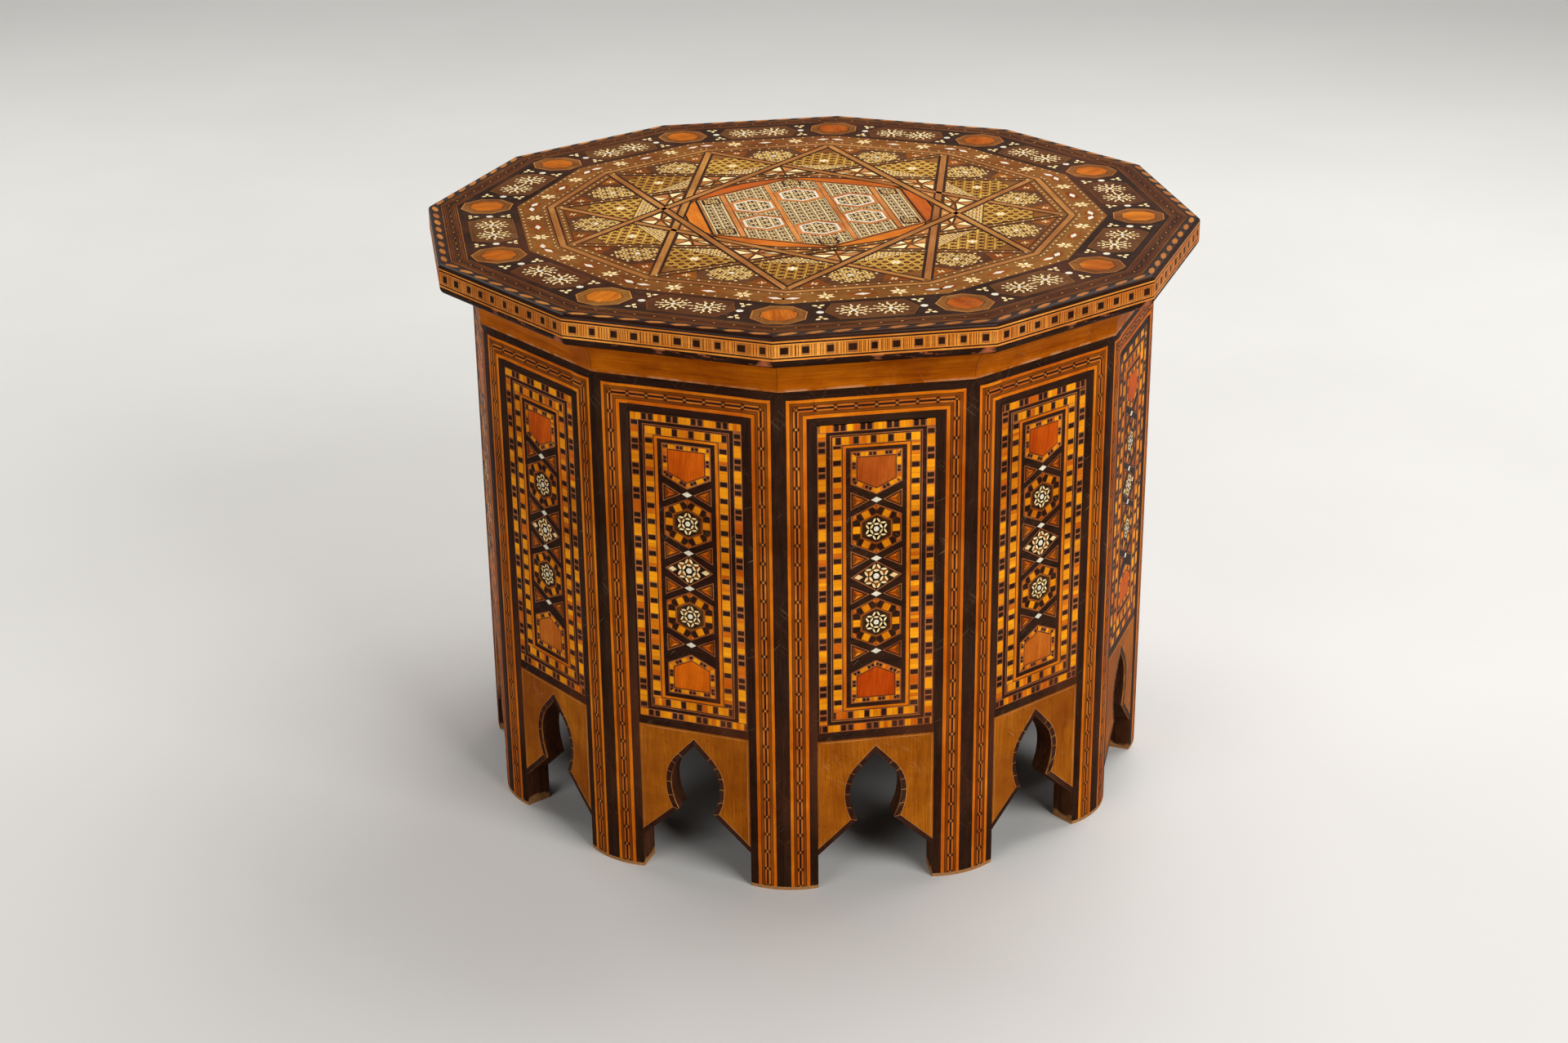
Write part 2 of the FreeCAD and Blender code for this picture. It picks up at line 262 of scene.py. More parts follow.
class Shader:
    """A material, or the world, and the nodes that are added to it."""

    def __init__(self, name, world=False):
        self.owner = (bpy.data.worlds if world else bpy.data.materials).new(name)
        self.owner.use_nodes = True
        self.tree = self.owner.node_tree
        self.surface = self.tree.nodes["Background" if world else "Principled BSDF"]

    def feed(self, node, inputs):
        for name, value in inputs.items():
            socket = node.inputs[name]
            if isinstance(value, bpy.types.NodeSocket):
                self.tree.links.new(value, socket)
            else:
                socket.default_value = linear(value) if socket.type == "RGBA" else value

    def add(self, kind, inputs, **settings):
        node = self.tree.nodes.new("ShaderNode" + kind)
        for name, value in settings.items():
            setattr(node, name, value)
        self.feed(node, inputs)
        return node

    def grain(self):
        """The flat places of the inlay, along and across the grain."""
        return self.add("UVMap", {}, uv_map="grain").outputs["UV"]

    def shade(self):
        """A number from 0 to 1 for each piece of inlay."""
        return self.add("Attribute", {}, attribute_name="shade").outputs["Fac"]

    def object_place(self):
        return self.add("TexCoord", {}).outputs["Object"]

    def parts(self, vector):
        return self.add("SeparateXYZ", {"Vector": vector}).outputs

    def scaled(self, vector, scale, turn=(0.0, 0.0, 0.0)):
        mapping = self.add("Mapping", {"Vector": vector, "Scale": scale, "Rotation": turn})
        return mapping.outputs["Vector"]

    def noise(self, vector, scale, detail=3.0, roughness=0.55):
        inputs = {"Vector": self.scaled(vector, scale), "Scale": 1.0}
        return self.add("TexNoise", {**inputs, "Detail": detail, "Roughness": roughness}).outputs["Fac"]

    def math(self, operation, a, b=0.0):
        return self.add("Math", {0: a, 1: b}, operation=operation).outputs["Value"]

    def plus(self, a, b):
        return self.math("ADD", a, b)

    def times(self, a, b):
        return self.math("MULTIPLY", a, b)

    def ramp(self, value, low, high, start=0.0, end=1.0):
        """A value carried from the span low to high onto the span start to end."""
        inputs = {"Value": value, "From Min": low, "From Max": high, "To Min": start, "To Max": end}
        return self.add("MapRange", inputs).outputs["Result"]

    def mix(self, factor, a, b, blend="MIX"):
        node = self.add("Mix", {}, data_type="RGBA", blend_type=blend)
        self.feed(node, {0: factor, 6: a, 7: b})
        return node.outputs[2]

    def varied(self, colour, low, high, hue=0.0):
        """A colour that differs from piece to piece, in value and a little in hue."""
        shade = self.shade()
        inputs = {"Value": self.ramp(shade, 0.0, 1.0, low, high), "Color": colour}
        if hue:
            inputs["Hue"] = self.ramp(shade, 0.0, 1.0, 0.5 - hue, 0.5 + hue)
        return self.add("HueSaturation", inputs).outputs["Color"]

    def bump(self, height, strength, distance):
        inputs = {"Height": height, "Strength": strength, "Distance": distance}
        return self.add("Bump", inputs).outputs["Normal"]

    def side_place(self, offset):
        """Places turned so that X points out of the nearest side or post, and Y runs along it."""
        place = self.object_place()
        parts = self.parts(place)
        angle = self.math("ARCTAN2", parts["Y"], parts["X"])
        step = math.radians(STEP)
        number = self.math("ROUND", self.math("DIVIDE", self.math("SUBTRACT", angle, offset), step))
        turn = self.plus(self.times(number, step), offset)
        inputs = {"Vector": place, "Angle": self.times(turn, -1.0)}
        return self.add("VectorRotate", inputs, rotation_type="Z_AXIS").outputs["Vector"]

    def along_side(self):
        return self.side_place(math.radians(-90))

    def along_post(self):
        return self.side_place(math.radians(-90 + HALF_STEP))

    def seen(self):
        """1 for rays that show a thing, straight or by a mirror or glass, and 0 for those that light."""
        rays = self.add("LightPath", {}).outputs
        return self.plus(self.plus(rays["Is Camera Ray"], rays["Is Glossy Ray"]), rays["Is Transmission Ray"])

    def cover(self, factor, colour):
        """Lays a colour over the base colour, as strongly as the factor says."""
        below = self.surface.inputs["Base Color"].links[0].from_socket
        self.feed(self.surface, {"Base Color": self.mix(factor, below, colour)})


# Scales of the grain, along and across it, spans of roughness, and the order of axes that turns the grain
FINE = (40, 900, 900)
BROAD = (9, 110, 110)
PORES = (150, 2600, 2600)
SATIN = (0.34, 0.48)
POLISHED = (0.24, 0.36)
BARE = (0.60, 0.80)
GRAIN_ALONG = (1, 2, 0)
GRAIN_UPRIGHT = (2, 1, 0)


def wood(name, light, dark, place=None, order=(0, 1, 2), varnish=0.02, roughness=SATIN, wear=0.0):
    """A varnished wood. The grain runs along the first axis of its places, which are the inlay's own
    flat places unless a function gives others. Pieces of inlay differ a little in shade."""
    shader = Shader(name)
    if place is None:
        grain = shader.grain()
    else:
        parts = shader.parts(place(shader))
        grain = shader.add("CombineXYZ", {k: parts[axis] for k, axis in enumerate(order)}).outputs["Vector"]
    fine = shader.noise(grain, FINE, 4.0)
    broad = shader.noise(grain, BROAD, 2.0)
    pores = shader.ramp(shader.noise(grain, PORES, 1.0), 0.60, 0.72)
    figure = shader.plus(shader.times(fine, 0.6), shader.times(broad, 0.4))
    colour = shader.mix(shader.ramp(figure, 0.36, 0.64), dark, light)
    colour = shader.mix(shader.times(pores, 0.35), colour, dark)
    if place is None:
        colour = shader.varied(colour, 0.80, 1.16, 0.008)
    patina = shader.noise(shader.object_place(), (14, 14, 14), 5.0, 0.65)
    grime = shader.mix(shader.ramp(patina, 0.40, 0.62), (214, 198, 180), (255, 255, 255))
    shader.feed(shader.surface, {
        "Base Color": shader.mix(1.0, colour, grime, "MULTIPLY"),
        "Roughness": shader.ramp(shader.plus(fine, patina), 0.7, 1.3, *roughness),
        "Coat Weight": varnish, "Coat Roughness": 0.14, "Specular IOR Level": 0.006,
        "Normal": shader.bump(shader.math("SUBTRACT", fine, shader.times(pores, 0.8)), 0.25, 0.00015)})
    if wear:
        scratch(shader, wear)
    return shader


SCRATCH_TURNS = ((0.5, 0.2, 0.7), (-0.6, 0.4, 2.1))


def scratch(shader, amount):
    """Pale scratches, short and very thin, in two directions and only here and there."""
    place = shader.object_place()
    where = shader.ramp(shader.noise(place, (25, 25, 25), 2.0), 0.50, 0.64)
    for turn in SCRATCH_TURNS:
        lines = shader.noise(shader.scaled(place, (1, 1, 1), turn), (2600, 60, 60), 0.0)
        mask = shader.times(shader.ramp(lines, 0.74, 0.80), where)
        shader.cover(shader.times(mask, amount), (225, 190, 140))


def bone():
    shader = Shader("bone")
    streak = shader.noise(shader.grain(), (160, 1400, 1400), 3.0)
    tone = shader.plus(shader.times(streak, 0.5), shader.times(shader.shade(), 0.5))
    shader.feed(shader.surface, {
        "Base Color": shader.mix(shader.ramp(tone, 0.2, 0.75), (218, 180, 114), (251, 229, 174)),
        "Roughness": shader.ramp(streak, 0.3, 0.7, 0.34, 0.46), "Coat Weight": 0.02,
        "Specular IOR Level": 0.05, "Normal": shader.bump(streak, 0.2, 0.0001)})
    return shader


def pearl():
    shader = Shader("pearl")
    cloud = shader.noise(shader.grain(), (420, 900, 420), 3.0)
    ripple = shader.noise(shader.grain(), (260, 260, 260), 1.0)
    colour = shader.mix(shader.ramp(cloud, 0.35, 0.65), (206, 200, 180), (246, 235, 208))
    colour = shader.mix(shader.ramp(ripple, 0.50, 0.70, 0.0, 0.5), colour, (228, 206, 180))
    shader.feed(shader.surface, {
        "Base Color": shader.varied(colour, 0.84, 1.04),
        "Roughness": shader.ramp(cloud, 0.3, 0.7, 0.18, 0.32), "Coat Weight": 0.08,
        "Coat Roughness": 0.10, "Specular IOR Level": 0.25, "Normal": shader.bump(cloud, 0.2, 0.0001)})
    return shader


def blotch(shader, scale, span, strength, colour):
    """Lays a colour over a material in soft patches: where the noise passes the span."""
    cloud = shader.noise(shader.object_place(), scale, 5.0, 0.6)
    shader.cover(shader.ramp(cloud, *span, 0.0, strength), colour)
    return shader


def dark_inlay():
    """Dark wood with a reddish glow in places."""
    shader = wood("dark_inlay", (62, 38, 26), (36, 23, 16), wear=0.15)
    return blotch(shader, (9, 9, 5), (0.48, 0.66), 0.55, (92, 48, 27))


def worn_edge():
    """Dark wood, rubbed through to reddish wood in places."""
    shader = wood("worn_edge", (62, 39, 28), (38, 25, 18), wear=0.4)
    return blotch(shader, (34, 34, 90), (0.60, 0.68), 0.9, (176, 98, 62))


def spandrel_wood():
    """Golden veneer, darker and redder in patches."""
    colours = (190, 110, 24), (142, 76, 10)
    shader = wood("spandrel_wood", *colours, Shader.along_side, GRAIN_UPRIGHT, wear=0.35)
    blotch(shader, (16, 16, 24), (0.42, 0.62), 0.6, (124, 60, 12))
    return blotch(shader, (260, 260, 420), (0.60, 0.70), 0.5, (108, 56, 14))


def post_carcass():
    """Dark wood with the bare pale end of each foot worn at the floor."""
    colours = (92, 56, 36), (54, 32, 22)
    shader = wood("post_carcass", *colours, Shader.along_post, GRAIN_UPRIGHT, 0.0, BARE)
    place = shader.object_place()
    ragged = shader.ramp(shader.noise(place, (90, 90, 90), 3.0), 0.3, 0.7, -0.003, 0.003)
    bare = shader.ramp(shader.plus(shader.parts(place)["Z"], ragged), 0.004, 0.007, 1.0, 0.0)
    pale = shader.mix(shader.noise(place, (300, 300, 900), 3.0), (120, 78, 44), (190, 138, 86))
    shader.cover(bare, pale)
    return shader


COVE_MITRE = (SPREAD * 0.995, SPREAD * 0.998)
# How far up the cove its pale lower edge reaches, in millimetres: rubbed wear and a painted highlight
COVE_PALE_EDGE = 2.4


def cove_wood():
    """Golden wood with a dark line at each mitre, and a lower edge painted pale: partly rubbed wear, partly a
    painted highlight where the sharp edge catches the light.
    """
    colours = (200, 109, 10), (156, 76, 4)
    shader = wood("golden_wood", *colours, Shader.along_side, GRAIN_ALONG, wear=0.15)
    place = shader.parts(shader.along_side())
    slope = shader.math("DIVIDE", shader.math("ABSOLUTE", place["Y"]), place["X"])
    shader.cover(shader.ramp(slope, *COVE_MITRE, 0.0, 0.75), (62, 34, 18))
    # Painted highlight and rubbed wear: pale patches along the cove's lower edge, where its sharp edge
    # catches the light
    rubbed_and_lit = shader.ramp(shader.noise(shader.object_place(), (70, 70, 70), 4.0), 0.42, 0.62)
    low = shader.ramp(place["Z"], BODY_TOP * MM, (BODY_TOP + COVE_PALE_EDGE) * MM, 0.9, 0.0)
    shader.cover(shader.times(rubbed_and_lit, low), (206, 150, 104))
    return shader


def screw_steel():
    shader = Shader("screw_steel")
    rust = shader.noise(shader.object_place(), (260, 260, 260), 5.0)
    shader.feed(shader.surface, {
        "Base Color": shader.mix(shader.ramp(rust, 0.45, 0.6), (126, 122, 116), (96, 62, 40)),
        "Metallic": shader.ramp(rust, 0.45, 0.6, 1.0, 0.2),
        "Roughness": shader.ramp(rust, 0.4, 0.6, 0.35, 0.75), "Normal": shader.bump(rust, 0.3, 0.0002)})
    return shader


# The plain woods of the inlay: the light and the dark of their grain, and how scratched they are
PLAIN_WOODS = {
    "rosewood": ((74, 44, 33), (46, 28, 21), 0.3),
    "walnut": ((96, 58, 26), (66, 37, 16), 0.0),
    "mauve": ((182, 112, 66), (144, 82, 44), 0.0),
    "brown": ((156, 84, 22), (116, 58, 12), 0.0),
    "chestnut": ((110, 69, 37), (82, 48, 25), 0.2),
    "umber": ((148, 95, 42), (110, 67, 27), 0.2),
    "tan": ((210, 144, 78), (174, 108, 50), 0.15),
    "oak": ((186, 127, 68), (150, 94, 44), 0.15),
    "salmon": ((214, 140, 76), (184, 108, 52), 0.15),
    "copper": ((216, 122, 42), (184, 90, 20), 0.2),
    "honey": ((204, 112, 28), (150, 72, 12), 0.2),
    "apricot": ((255, 180, 84), (238, 140, 52), 0.15),
    "orange": ((238, 136, 26), (204, 98, 10), 0.0),
    "gold": ((255, 172, 28), (234, 132, 10), 0.0),
    "red": ((226, 106, 18), (190, 78, 8), 0.2),
    "amber": ((236, 132, 26), (202, 94, 10), 0.15),
    "lemon": ((234, 188, 90), (198, 148, 58), 0.0)}
WOODS = {
    "dark": dark_inlay(),
    "gloss": wood("dark_edge", (66, 40, 27), (40, 25, 17), varnish=0.12, roughness=POLISHED),
    "worn": worn_edge(),
    "bone": bone(),
    "pearl": pearl()}
for plain, (light_grain, dark_grain, scratched) in PLAIN_WOODS.items():
    WOODS[plain] = wood(plain + "_inlay", light_grain, dark_grain, wear=scratched)


# Laying a sheet on a surface

def strips(outline, axis, step):
    """An outline cut across one axis into strips no wider than the step, or left whole without an axis."""
    if axis is None:
        yield outline
        return
    low, high = min(p[axis] for p in outline), max(p[axis] for p in outline)
    normal = (1, 0) if axis == 0 else (0, 1)
    for k in range(math.floor(low / step + 1e-6), math.ceil(high / step - 1e-6)):
        strip = cut(outline, (k * step,) * 2, normal)
        strip = cut(strip, ((k + 1) * step,) * 2, (-normal[0], -normal[1]))
        if len(strip) > 2 and abs(area(strip)) > 1e-4:
            yield strip


def stand(name, data):
    made = bpy.data.objects.new(name, data)
    bpy.context.scene.collection.objects.link(made)
    return made


def lay(name, sheet, place, seed, ground_depth=INLAY_DEPTH, axis=None, step=CURVE_STEP):
    """Makes the mesh object of a sheet. place gives the point and the normal of a flat place in
    millimetres. Level 0 is the ground, as deep as it says, and higher levels stand a little higher."""
    draw = random.Random(seed)
    names = sorted({piece[1] for piece in sheet.pieces})
    vertices, faces, numbers, shades, grain_places = [], [], [], [], []
    for outline, wood_name, grain, level in sheet.pieces:
        shade = min(max(draw.gauss(*SHADE_SPREAD), 0.0), 1.0)
        shift = draw.uniform(0, GRAIN_SHIFT), draw.uniform(0, GRAIN_SHIFT)
        top = INLAY_PROUD + level * LEVEL_RISE
        bottom = -ground_depth if level == 0 else top - INLAY_DEPTH
        for strip in strips(outline, axis, step):
            first, count = len(vertices), len(strip)
            spots = [place(*p) for p in strip]
            for height in (top, bottom):
                vertices += [(point + normal * height) * MM for point, normal in spots]
            flat = turned(strip, -grain, shift)
            rings = [list(range(count)), list(range(2 * count - 1, count - 1, -1))]
            rings += [[k, k + count, (k + 1) % count + count, (k + 1) % count] for k in range(count)]
            for ring in rings:
                faces.append([first + k for k in ring])
                numbers.append(names.index(wood_name))
                shades.append(shade)
                grain_places += [value * MM for k in ring for value in flat[k % count]]

    mesh = bpy.data.meshes.new(name)
    mesh.from_pydata(vertices, [], faces)
    for wood_name in names:
        mesh.materials.append(WOODS[wood_name].owner)
    mesh.polygons.foreach_set("material_index", numbers)
    mesh.attributes.new("shade", "FLOAT", "FACE").data.foreach_set("value", shades)
    mesh.uv_layers.new(name="grain").data.foreach_set("uv", grain_places)
    return stand(name, mesh)


def settle(piece, turn=0.0, nodes=()):
    """Turns a piece to its side, sets it on the root body, and hides the model's parts that it stands for."""
    piece.rotation_euler.z = math.radians(turn)
    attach(piece, "root")
    if nodes:
        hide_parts(*nodes)


def side_angle(index):
    return -90 + index * STEP


def on_panel(across, up):
    return Vector((FACE_APOTHEM, across, up)), Vector((1, 0, 0))


def on_top(x, y):
    return Vector((x, y, HEIGHT)), Vector((0, 0, 1))


POST_HALF_CHORD = POST_FACE * cos(HALF_STEP)
POST_RADIUS = (POST_HALF_CHORD ** 2 + POST_BULGE ** 2) / (2 * POST_BULGE)
POST_CENTRE = FACE_APOTHEM / cos(HALF_STEP) - POST_FACE * sin(HALF_STEP) + POST_BULGE - POST_RADIUS


def on_post(across, up):
    """A post's rounded face, in the post's own frame with X pointing out."""
    angle = across / POST_FACE * math.asin(POST_HALF_CHORD / POST_RADIUS)
    normal = Vector((math.cos(angle), math.sin(angle), 0))
    return Vector((POST_CENTRE, 0, up)) + normal * POST_RADIUS, normal


# The top's edge is a run out over the face, round the upper edge, down and round the lower edge
EDGE_FLAT = TOP_APOTHEM - EDGE_ROUND_UPPER - BORDER_APOTHEM
EDGE_FACE = HEIGHT - TOP_UNDERSIDE - EDGE_ROUND_UPPER - EDGE_ROUND_LOWER
FACE_START = EDGE_FLAT + math.pi / 2 * EDGE_ROUND_UPPER
FACE_END = FACE_START + EDGE_FACE
EDGE_RUN = FACE_END + math.pi / 2 * EDGE_ROUND_LOWER


def on_edge(across, back):
    """The top's edge: across runs along the side, and back is the run with its sign turned."""
    run = -back
    upper = min(max(run - EDGE_FLAT, 0.0) / EDGE_ROUND_UPPER, math.pi / 2)
    lower = max(run - FACE_END, 0.0) / EDGE_ROUND_LOWER
    out = BORDER_APOTHEM + min(run, EDGE_FLAT)
    out += EDGE_ROUND_UPPER * math.sin(upper) - EDGE_ROUND_LOWER * (1 - math.cos(lower))
    up = HEIGHT - EDGE_ROUND_UPPER * (1 - math.cos(upper)) - min(max(run - FACE_START, 0.0), EDGE_FACE)
    up -= EDGE_ROUND_LOWER * math.sin(lower)
    half = out * SPREAD
    normal = Vector((math.sin(upper + lower), 0, math.cos(upper + lower)))
    return Vector((out, min(max(across, -half), half), up)), normal


# The sides: posts and panels. Drops are measured down from the top of the bands.

BAND_TOP = BODY_TOP - 1.6
FOOT_BARE = 3.0
BANDS = (("dark", 0.0, 5.9), ("orange", 5.9, 8.3), ("brown", 8.3, 18.4), ("orange", 18.4, 21.2),
         ("dark", 21.2, POST_FACE))
FINE_LINES = ((8.3, 8.8), (10.4, 10.8), (15.9, 16.3), (17.9, 18.4))
BAND_ROWS = [(*band, 1) for band in BANDS] + [("walnut", *line, 2) for line in FINE_LINES]
CHAIN_MIDDLE = 13.35
CHAIN_PITCH = 15.4
CHAIN_CORE = 0.85
CHAIN_HALF = 2.2
CHAIN_GAP = 1.2
CHAIN_SLANT = 0.9
CHAIN_KNOT = (2.6, 1.7)
CHAIN_KNOT_OUT = 1.76


def chain(length, line_wood="copper"):
    """Long links end to end along +X: each is a dark core between two lines with slanted ends. Where two
    links meet, the middle is pale and the sides are dark."""
    sheet = Sheet()
    count = max(round(length / CHAIN_PITCH), 1)
    pitch = length / count
    for k in range(count):
        low, high = k * pitch + CHAIN_GAP, (k + 1) * pitch - CHAIN_GAP
        core = [(low - CHAIN_SLANT, 0), (low, -CHAIN_CORE), (high, -CHAIN_CORE), (high + CHAIN_SLANT, 0),
                (high, CHAIN_CORE), (low, CHAIN_CORE)]
        sheet.add(core, "dark", 0, 4)
        for side in (-1, 1):
            near, far = side * CHAIN_CORE, side * CHAIN_HALF
            line = [(low, near), (high, near), (high - CHAIN_SLANT, far), (low + CHAIN_SLANT, far)]
            sheet.add(line, line_wood, 0, 4)
    limits = block(0, length, -2 * CHAIN_HALF, 2 * CHAIN_HALF)
    for k in range(count + 1):
        for side, wood_name in ((0, "tan"), (-1, "dark"), (1, "dark")):
            knot = lozenge(*CHAIN_KNOT, 0, (k * pitch, side * CHAIN_KNOT_OUT))
            sheet.add(clipped(knot, limits), wood_name, 0, 5)
    return sheet


def post_sheet():
    """Both halves of a post: the bands of a side run up it and turn over the top at a mitre."""
    half = Sheet()
    half.add(block(0, POST_FACE, BAND_TOP, BODY_TOP), "dark", 0, 1)
    for wood_name, low, high, level in BAND_ROWS:
        under, over = BAND_TOP - high, BAND_TOP - low
        half.add([(low, FOOT_BARE), (high, FOOT_BARE), (high, under), (low, over)], wood_name, 90, level)
        half.add([(low, over), (high, under), (POST_FACE, under), (POST_FACE, over)], wood_name, 0, level)
    half.put(chain(BAND_TOP - FOOT_BARE - CHAIN_MIDDLE), 90, (CHAIN_MIDDLE, FOOT_BARE))
    half.put(chain(POST_FACE - CHAIN_MIDDLE), 0, (CHAIN_MIDDLE, BAND_TOP - CHAIN_MIDDLE))
    return half.mirrored()


# Rectangles inside each other on a panel: half width, and drops of the top and bottom edge
OUTER_CHECKER = (45.3, 27.2, 285.2)
DARK_FRAME = (38.5, 33.6, 278.6)
THIN_LINE = (35.5, 36.0, 276.0)
INNER_CHECKER = (33.9, 37.4, 274.6)
STRIP_LINE = (26.6, 44.4, 267.4)
STRIP_FRAME = (23.5, 46.9, 264.8)
STRIP = (20.0, 49.8, 261.4)
THIN_LINE_WIDTH = 0.7
STRIP_LINE_GAP = 0.6


def rectangle(half, top, bottom):
    return block(-half, half, BAND_TOP - bottom, BAND_TOP - top)


def narrower(half, top, bottom, distance):
    return half - distance, top + distance, bottom - distance


# Banding: its pitch, and each block's wood, its start and end, and the ground left above and below it
PAIRED = (20.4, (("gold", 0.4, 10.0, 0.45), ("dark", 10.8, 14.6, 0.8), ("dark", 16.1, 19.9, 0.8)))
SINGLE = (13.4, (("gold", 0.3, 8.8, 0.35), ("dark", 9.2, 13.2, 0.7)))
SMALL = (12.4, (("gold", 0.3, 6.4, 0.4), ("dark", 7.0, 9.3, 0.9), ("dark", 9.9, 12.1, 0.9)))
CHECKER_LEAD = 9
HOUSE_LEAD = 6
BLOCK_WANDER = 0.2
BLOCK_MARGIN = 0.3
SMALLEST_BLOCK = 0.9
SLICE_COUNTS = (1, 2, 2, 3)
SLICE_WOODS = ("gold", "gold", "gold", "gold", "amber")
SLICE_GAP = 0.12


def banding(length, width, units, most_lead, draw):
    """A strip along +X, up from y = 0, of wooden blocks in a mauve ground, which start early or late by up
    to the lead. Golden blocks are glued up from a few slices."""
    sheet = Sheet()
    sheet.add(block(0, length, 0, width), "mauve")
    pitch, blocks = units
    lead = draw.uniform(-most_lead, most_lead)
    for k in range(-1, int(length / pitch) + 2):
        for wood_name, start, end, margin in blocks:
            shift = k * pitch + lead + draw.uniform(-BLOCK_WANDER, BLOCK_WANDER)
            low, high = max(start + shift, BLOCK_MARGIN), min(end + shift, length - BLOCK_MARGIN)
            if high - low < SMALLEST_BLOCK:
                continue
            count = draw.choice(SLICE_COUNTS) if wood_name == "gold" else 1
            slice_width = (high - low) / count
            for j in range(count):
                chosen = draw.choice(SLICE_WOODS) if wood_name == "gold" else wood_name
                slice_low = low + j * slice_width
                piece = block(slice_low, slice_low + slice_width - SLICE_GAP, margin, width - margin)
                sheet.add(piece, chosen, 90, 2)
    return sheet


def checker_frame(outer, inner, units, draw):
    """Banding round a rectangle, with the strips above and below run through to the corners."""
    sheet = Sheet()
    for x in (-inner[0], outer[0]):
        strip = banding(inner[2] - inner[1], outer[0] - inner[0], units, CHECKER_LEAD, draw)
        sheet.put(strip, 90, (x, BAND_TOP - inner[2]))
    for low, high in ((inner[1], outer[1]), (outer[2], inner[2])):
        strip = banding(2 * outer[0], low - high, units, CHECKER_LEAD, draw)
        sheet.put(strip, 0, (-outer[0], BAND_TOP - low))
    return sheet


def line_frame(sheet, outer, inner, wood_name):
    """Four mitred strips between two rectangles."""
    a, b = rectangle(*outer), rectangle(*inner)
    for k in range(4):
        following = (k + 1) % 4
        sheet.add([a[k], a[following], b[following], b[k]], wood_name, 90 * (k % 2), 1)


HEXAGON_ROSETTE = 9.6
RHOMBUS_ROSETTE = 10.8

# A rosette's parts, as shares of its radius
HEART_OUT = 0.64
HEART_SIZE = 0.25
PETAL = (0.46, 0.18)
PETAL_OUT = 0.20
ROSETTE_PEARL = 0.22


def rosette(radius):
    """Six brown triangles, each framed by three bone leaves, round a pearl."""
    sheet = Sheet()
    for k in range(6):
        way = 30 + 60 * k
        heart = polar(radius * HEART_OUT, way)
        for side in (way + 60, way + 180, way + 300):
            spot = polar(radius * PETAL_OUT, side, heart)
            petal = leaf(radius * PETAL[0], radius * PETAL[1], side + 90, spot)
            sheet.add(petal, "bone", side + 90, 6)
        sheet.add(regular(3, radius * HEART_SIZE, way, heart), "brown", way, 5)
    sheet.dot((0.0, 0.0), radius * ROSETTE_PEARL, 6, "pearl", 10)
    return sheet


HOUSE_HALF = 20.0
HOUSE_SHOULDER = 26.6
HOUSE_POINT = 36.2
HOUSE_LINE = 0.55
HOUSE_BORDER = 4.2
BOARD_GRAIN = 84


def house(board_wood, draw):
    """A five-sided panel that points down from y = 0: a board with a mitred checker border."""
    sheet = Sheet()
    outline = [(-HOUSE_HALF, 0), (HOUSE_HALF, 0), (HOUSE_HALF, -HOUSE_SHOULDER), (0, -HOUSE_POINT),
               (-HOUSE_HALF, -HOUSE_SHOULDER)]
    ring = sheet.nest(outline, (("mauve", HOUSE_LINE),), level=2)
    for strip, start, turn, length in mitres(ring, HOUSE_BORDER):
        blocks = banding(length, HOUSE_BORDER, SMALL, HOUSE_LEAD, draw)
        sheet.put(blocks, turn, start, cell=strip, lift=2)
    board = sheet.nest(inset(ring, HOUSE_BORDER), (("dark", HOUSE_LINE),), level=4)
    sheet.add(board, board_wood, BOARD_GRAIN, 5)
    return sheet


# Along each side of a hexagon: a golden block in the middle, and a dark one, cut off at a slant, and a small
# tip at either end
HEXAGON_POINT = 20.8
HEXAGON = (19.6, 0.55 * HEXAGON_POINT, HEXAGON_POINT)
HEXAGON_LINE = 0.6
HEXAGON_RING = 7.2
HEXAGON_JOINT = 0.15
GOLD_HALF = 2.8
GOLD_SPAN = (0.8, HEXAGON_RING - 0.7)
DARK_START = 3.4
DARK_SPAN = (0.7, HEXAGON_RING - 0.9)
DARK_SLANT = ((3.8, 0), (3, 1))
HEXAGON_TIP = ((0.6, 0.4), (3.4, 0.4), (2.04, 3.4))


def checker_hexagon():
    """A hexagon with golden and dark blocks round a rosette."""
    sheet = Sheet()
    ring = sheet.nest(long_hexagon(*HEXAGON), (("mauve", HEXAGON_LINE), ("brown", 0.0)), level=2)
    for strip, start, turn, length in mitres(ring, HEXAGON_RING):
        half = length / 2
        blocks, end = Sheet(), Sheet()
        blocks.add(block(half - GOLD_HALF, half + GOLD_HALF, *GOLD_SPAN), "gold", 90, 4)
        end.add(cut(block(0, half - DARK_START, *DARK_SPAN), *DARK_SLANT), "dark", 90, 4)
        end.add(HEXAGON_TIP, "copper", 0, 4)
        for flip in (-1, 1):
            blocks.put(end, 90 - 90 * flip, (half - half * flip, 0), flip)
        sheet.put(blocks, turn, start, cell=inset(strip, HEXAGON_JOINT))
    core = sheet.nest(inset(ring, HEXAGON_RING), (("mauve", HEXAGON_LINE), ("walnut", 0.0)), level=4)
    sheet.add(clipped(regular(18, HEXAGON_ROSETTE), core), "dark", 0, 6)
    sheet.put(rosette(HEXAGON_ROSETTE), lift=1)
    return sheet


RHOMBUS = (40.0, 25.4)
RHOMBUS_LINE = 0.7
RHOMBUS_DIAMOND = (7.2, 4.4)
RHOMBUS_DIAMOND_OUT = 13.8


def rhombus():
    """A lozenge with a rosette and a bone diamond at each end."""
    sheet = Sheet()
    inner = sheet.nest(lozenge(*RHOMBUS), (("mauve", RHOMBUS_LINE),), level=2)
    sheet.add(inner, "dark", 0, 3)
    for side in (-1, 1):
        sheet.add(lozenge(*RHOMBUS_DIAMOND, 0, (side * RHOMBUS_DIAMOND_OUT, 0)), "bone", 0, 5)
    sheet.put(rosette(RHOMBUS_ROSETTE), cell=inner)
    return sheet


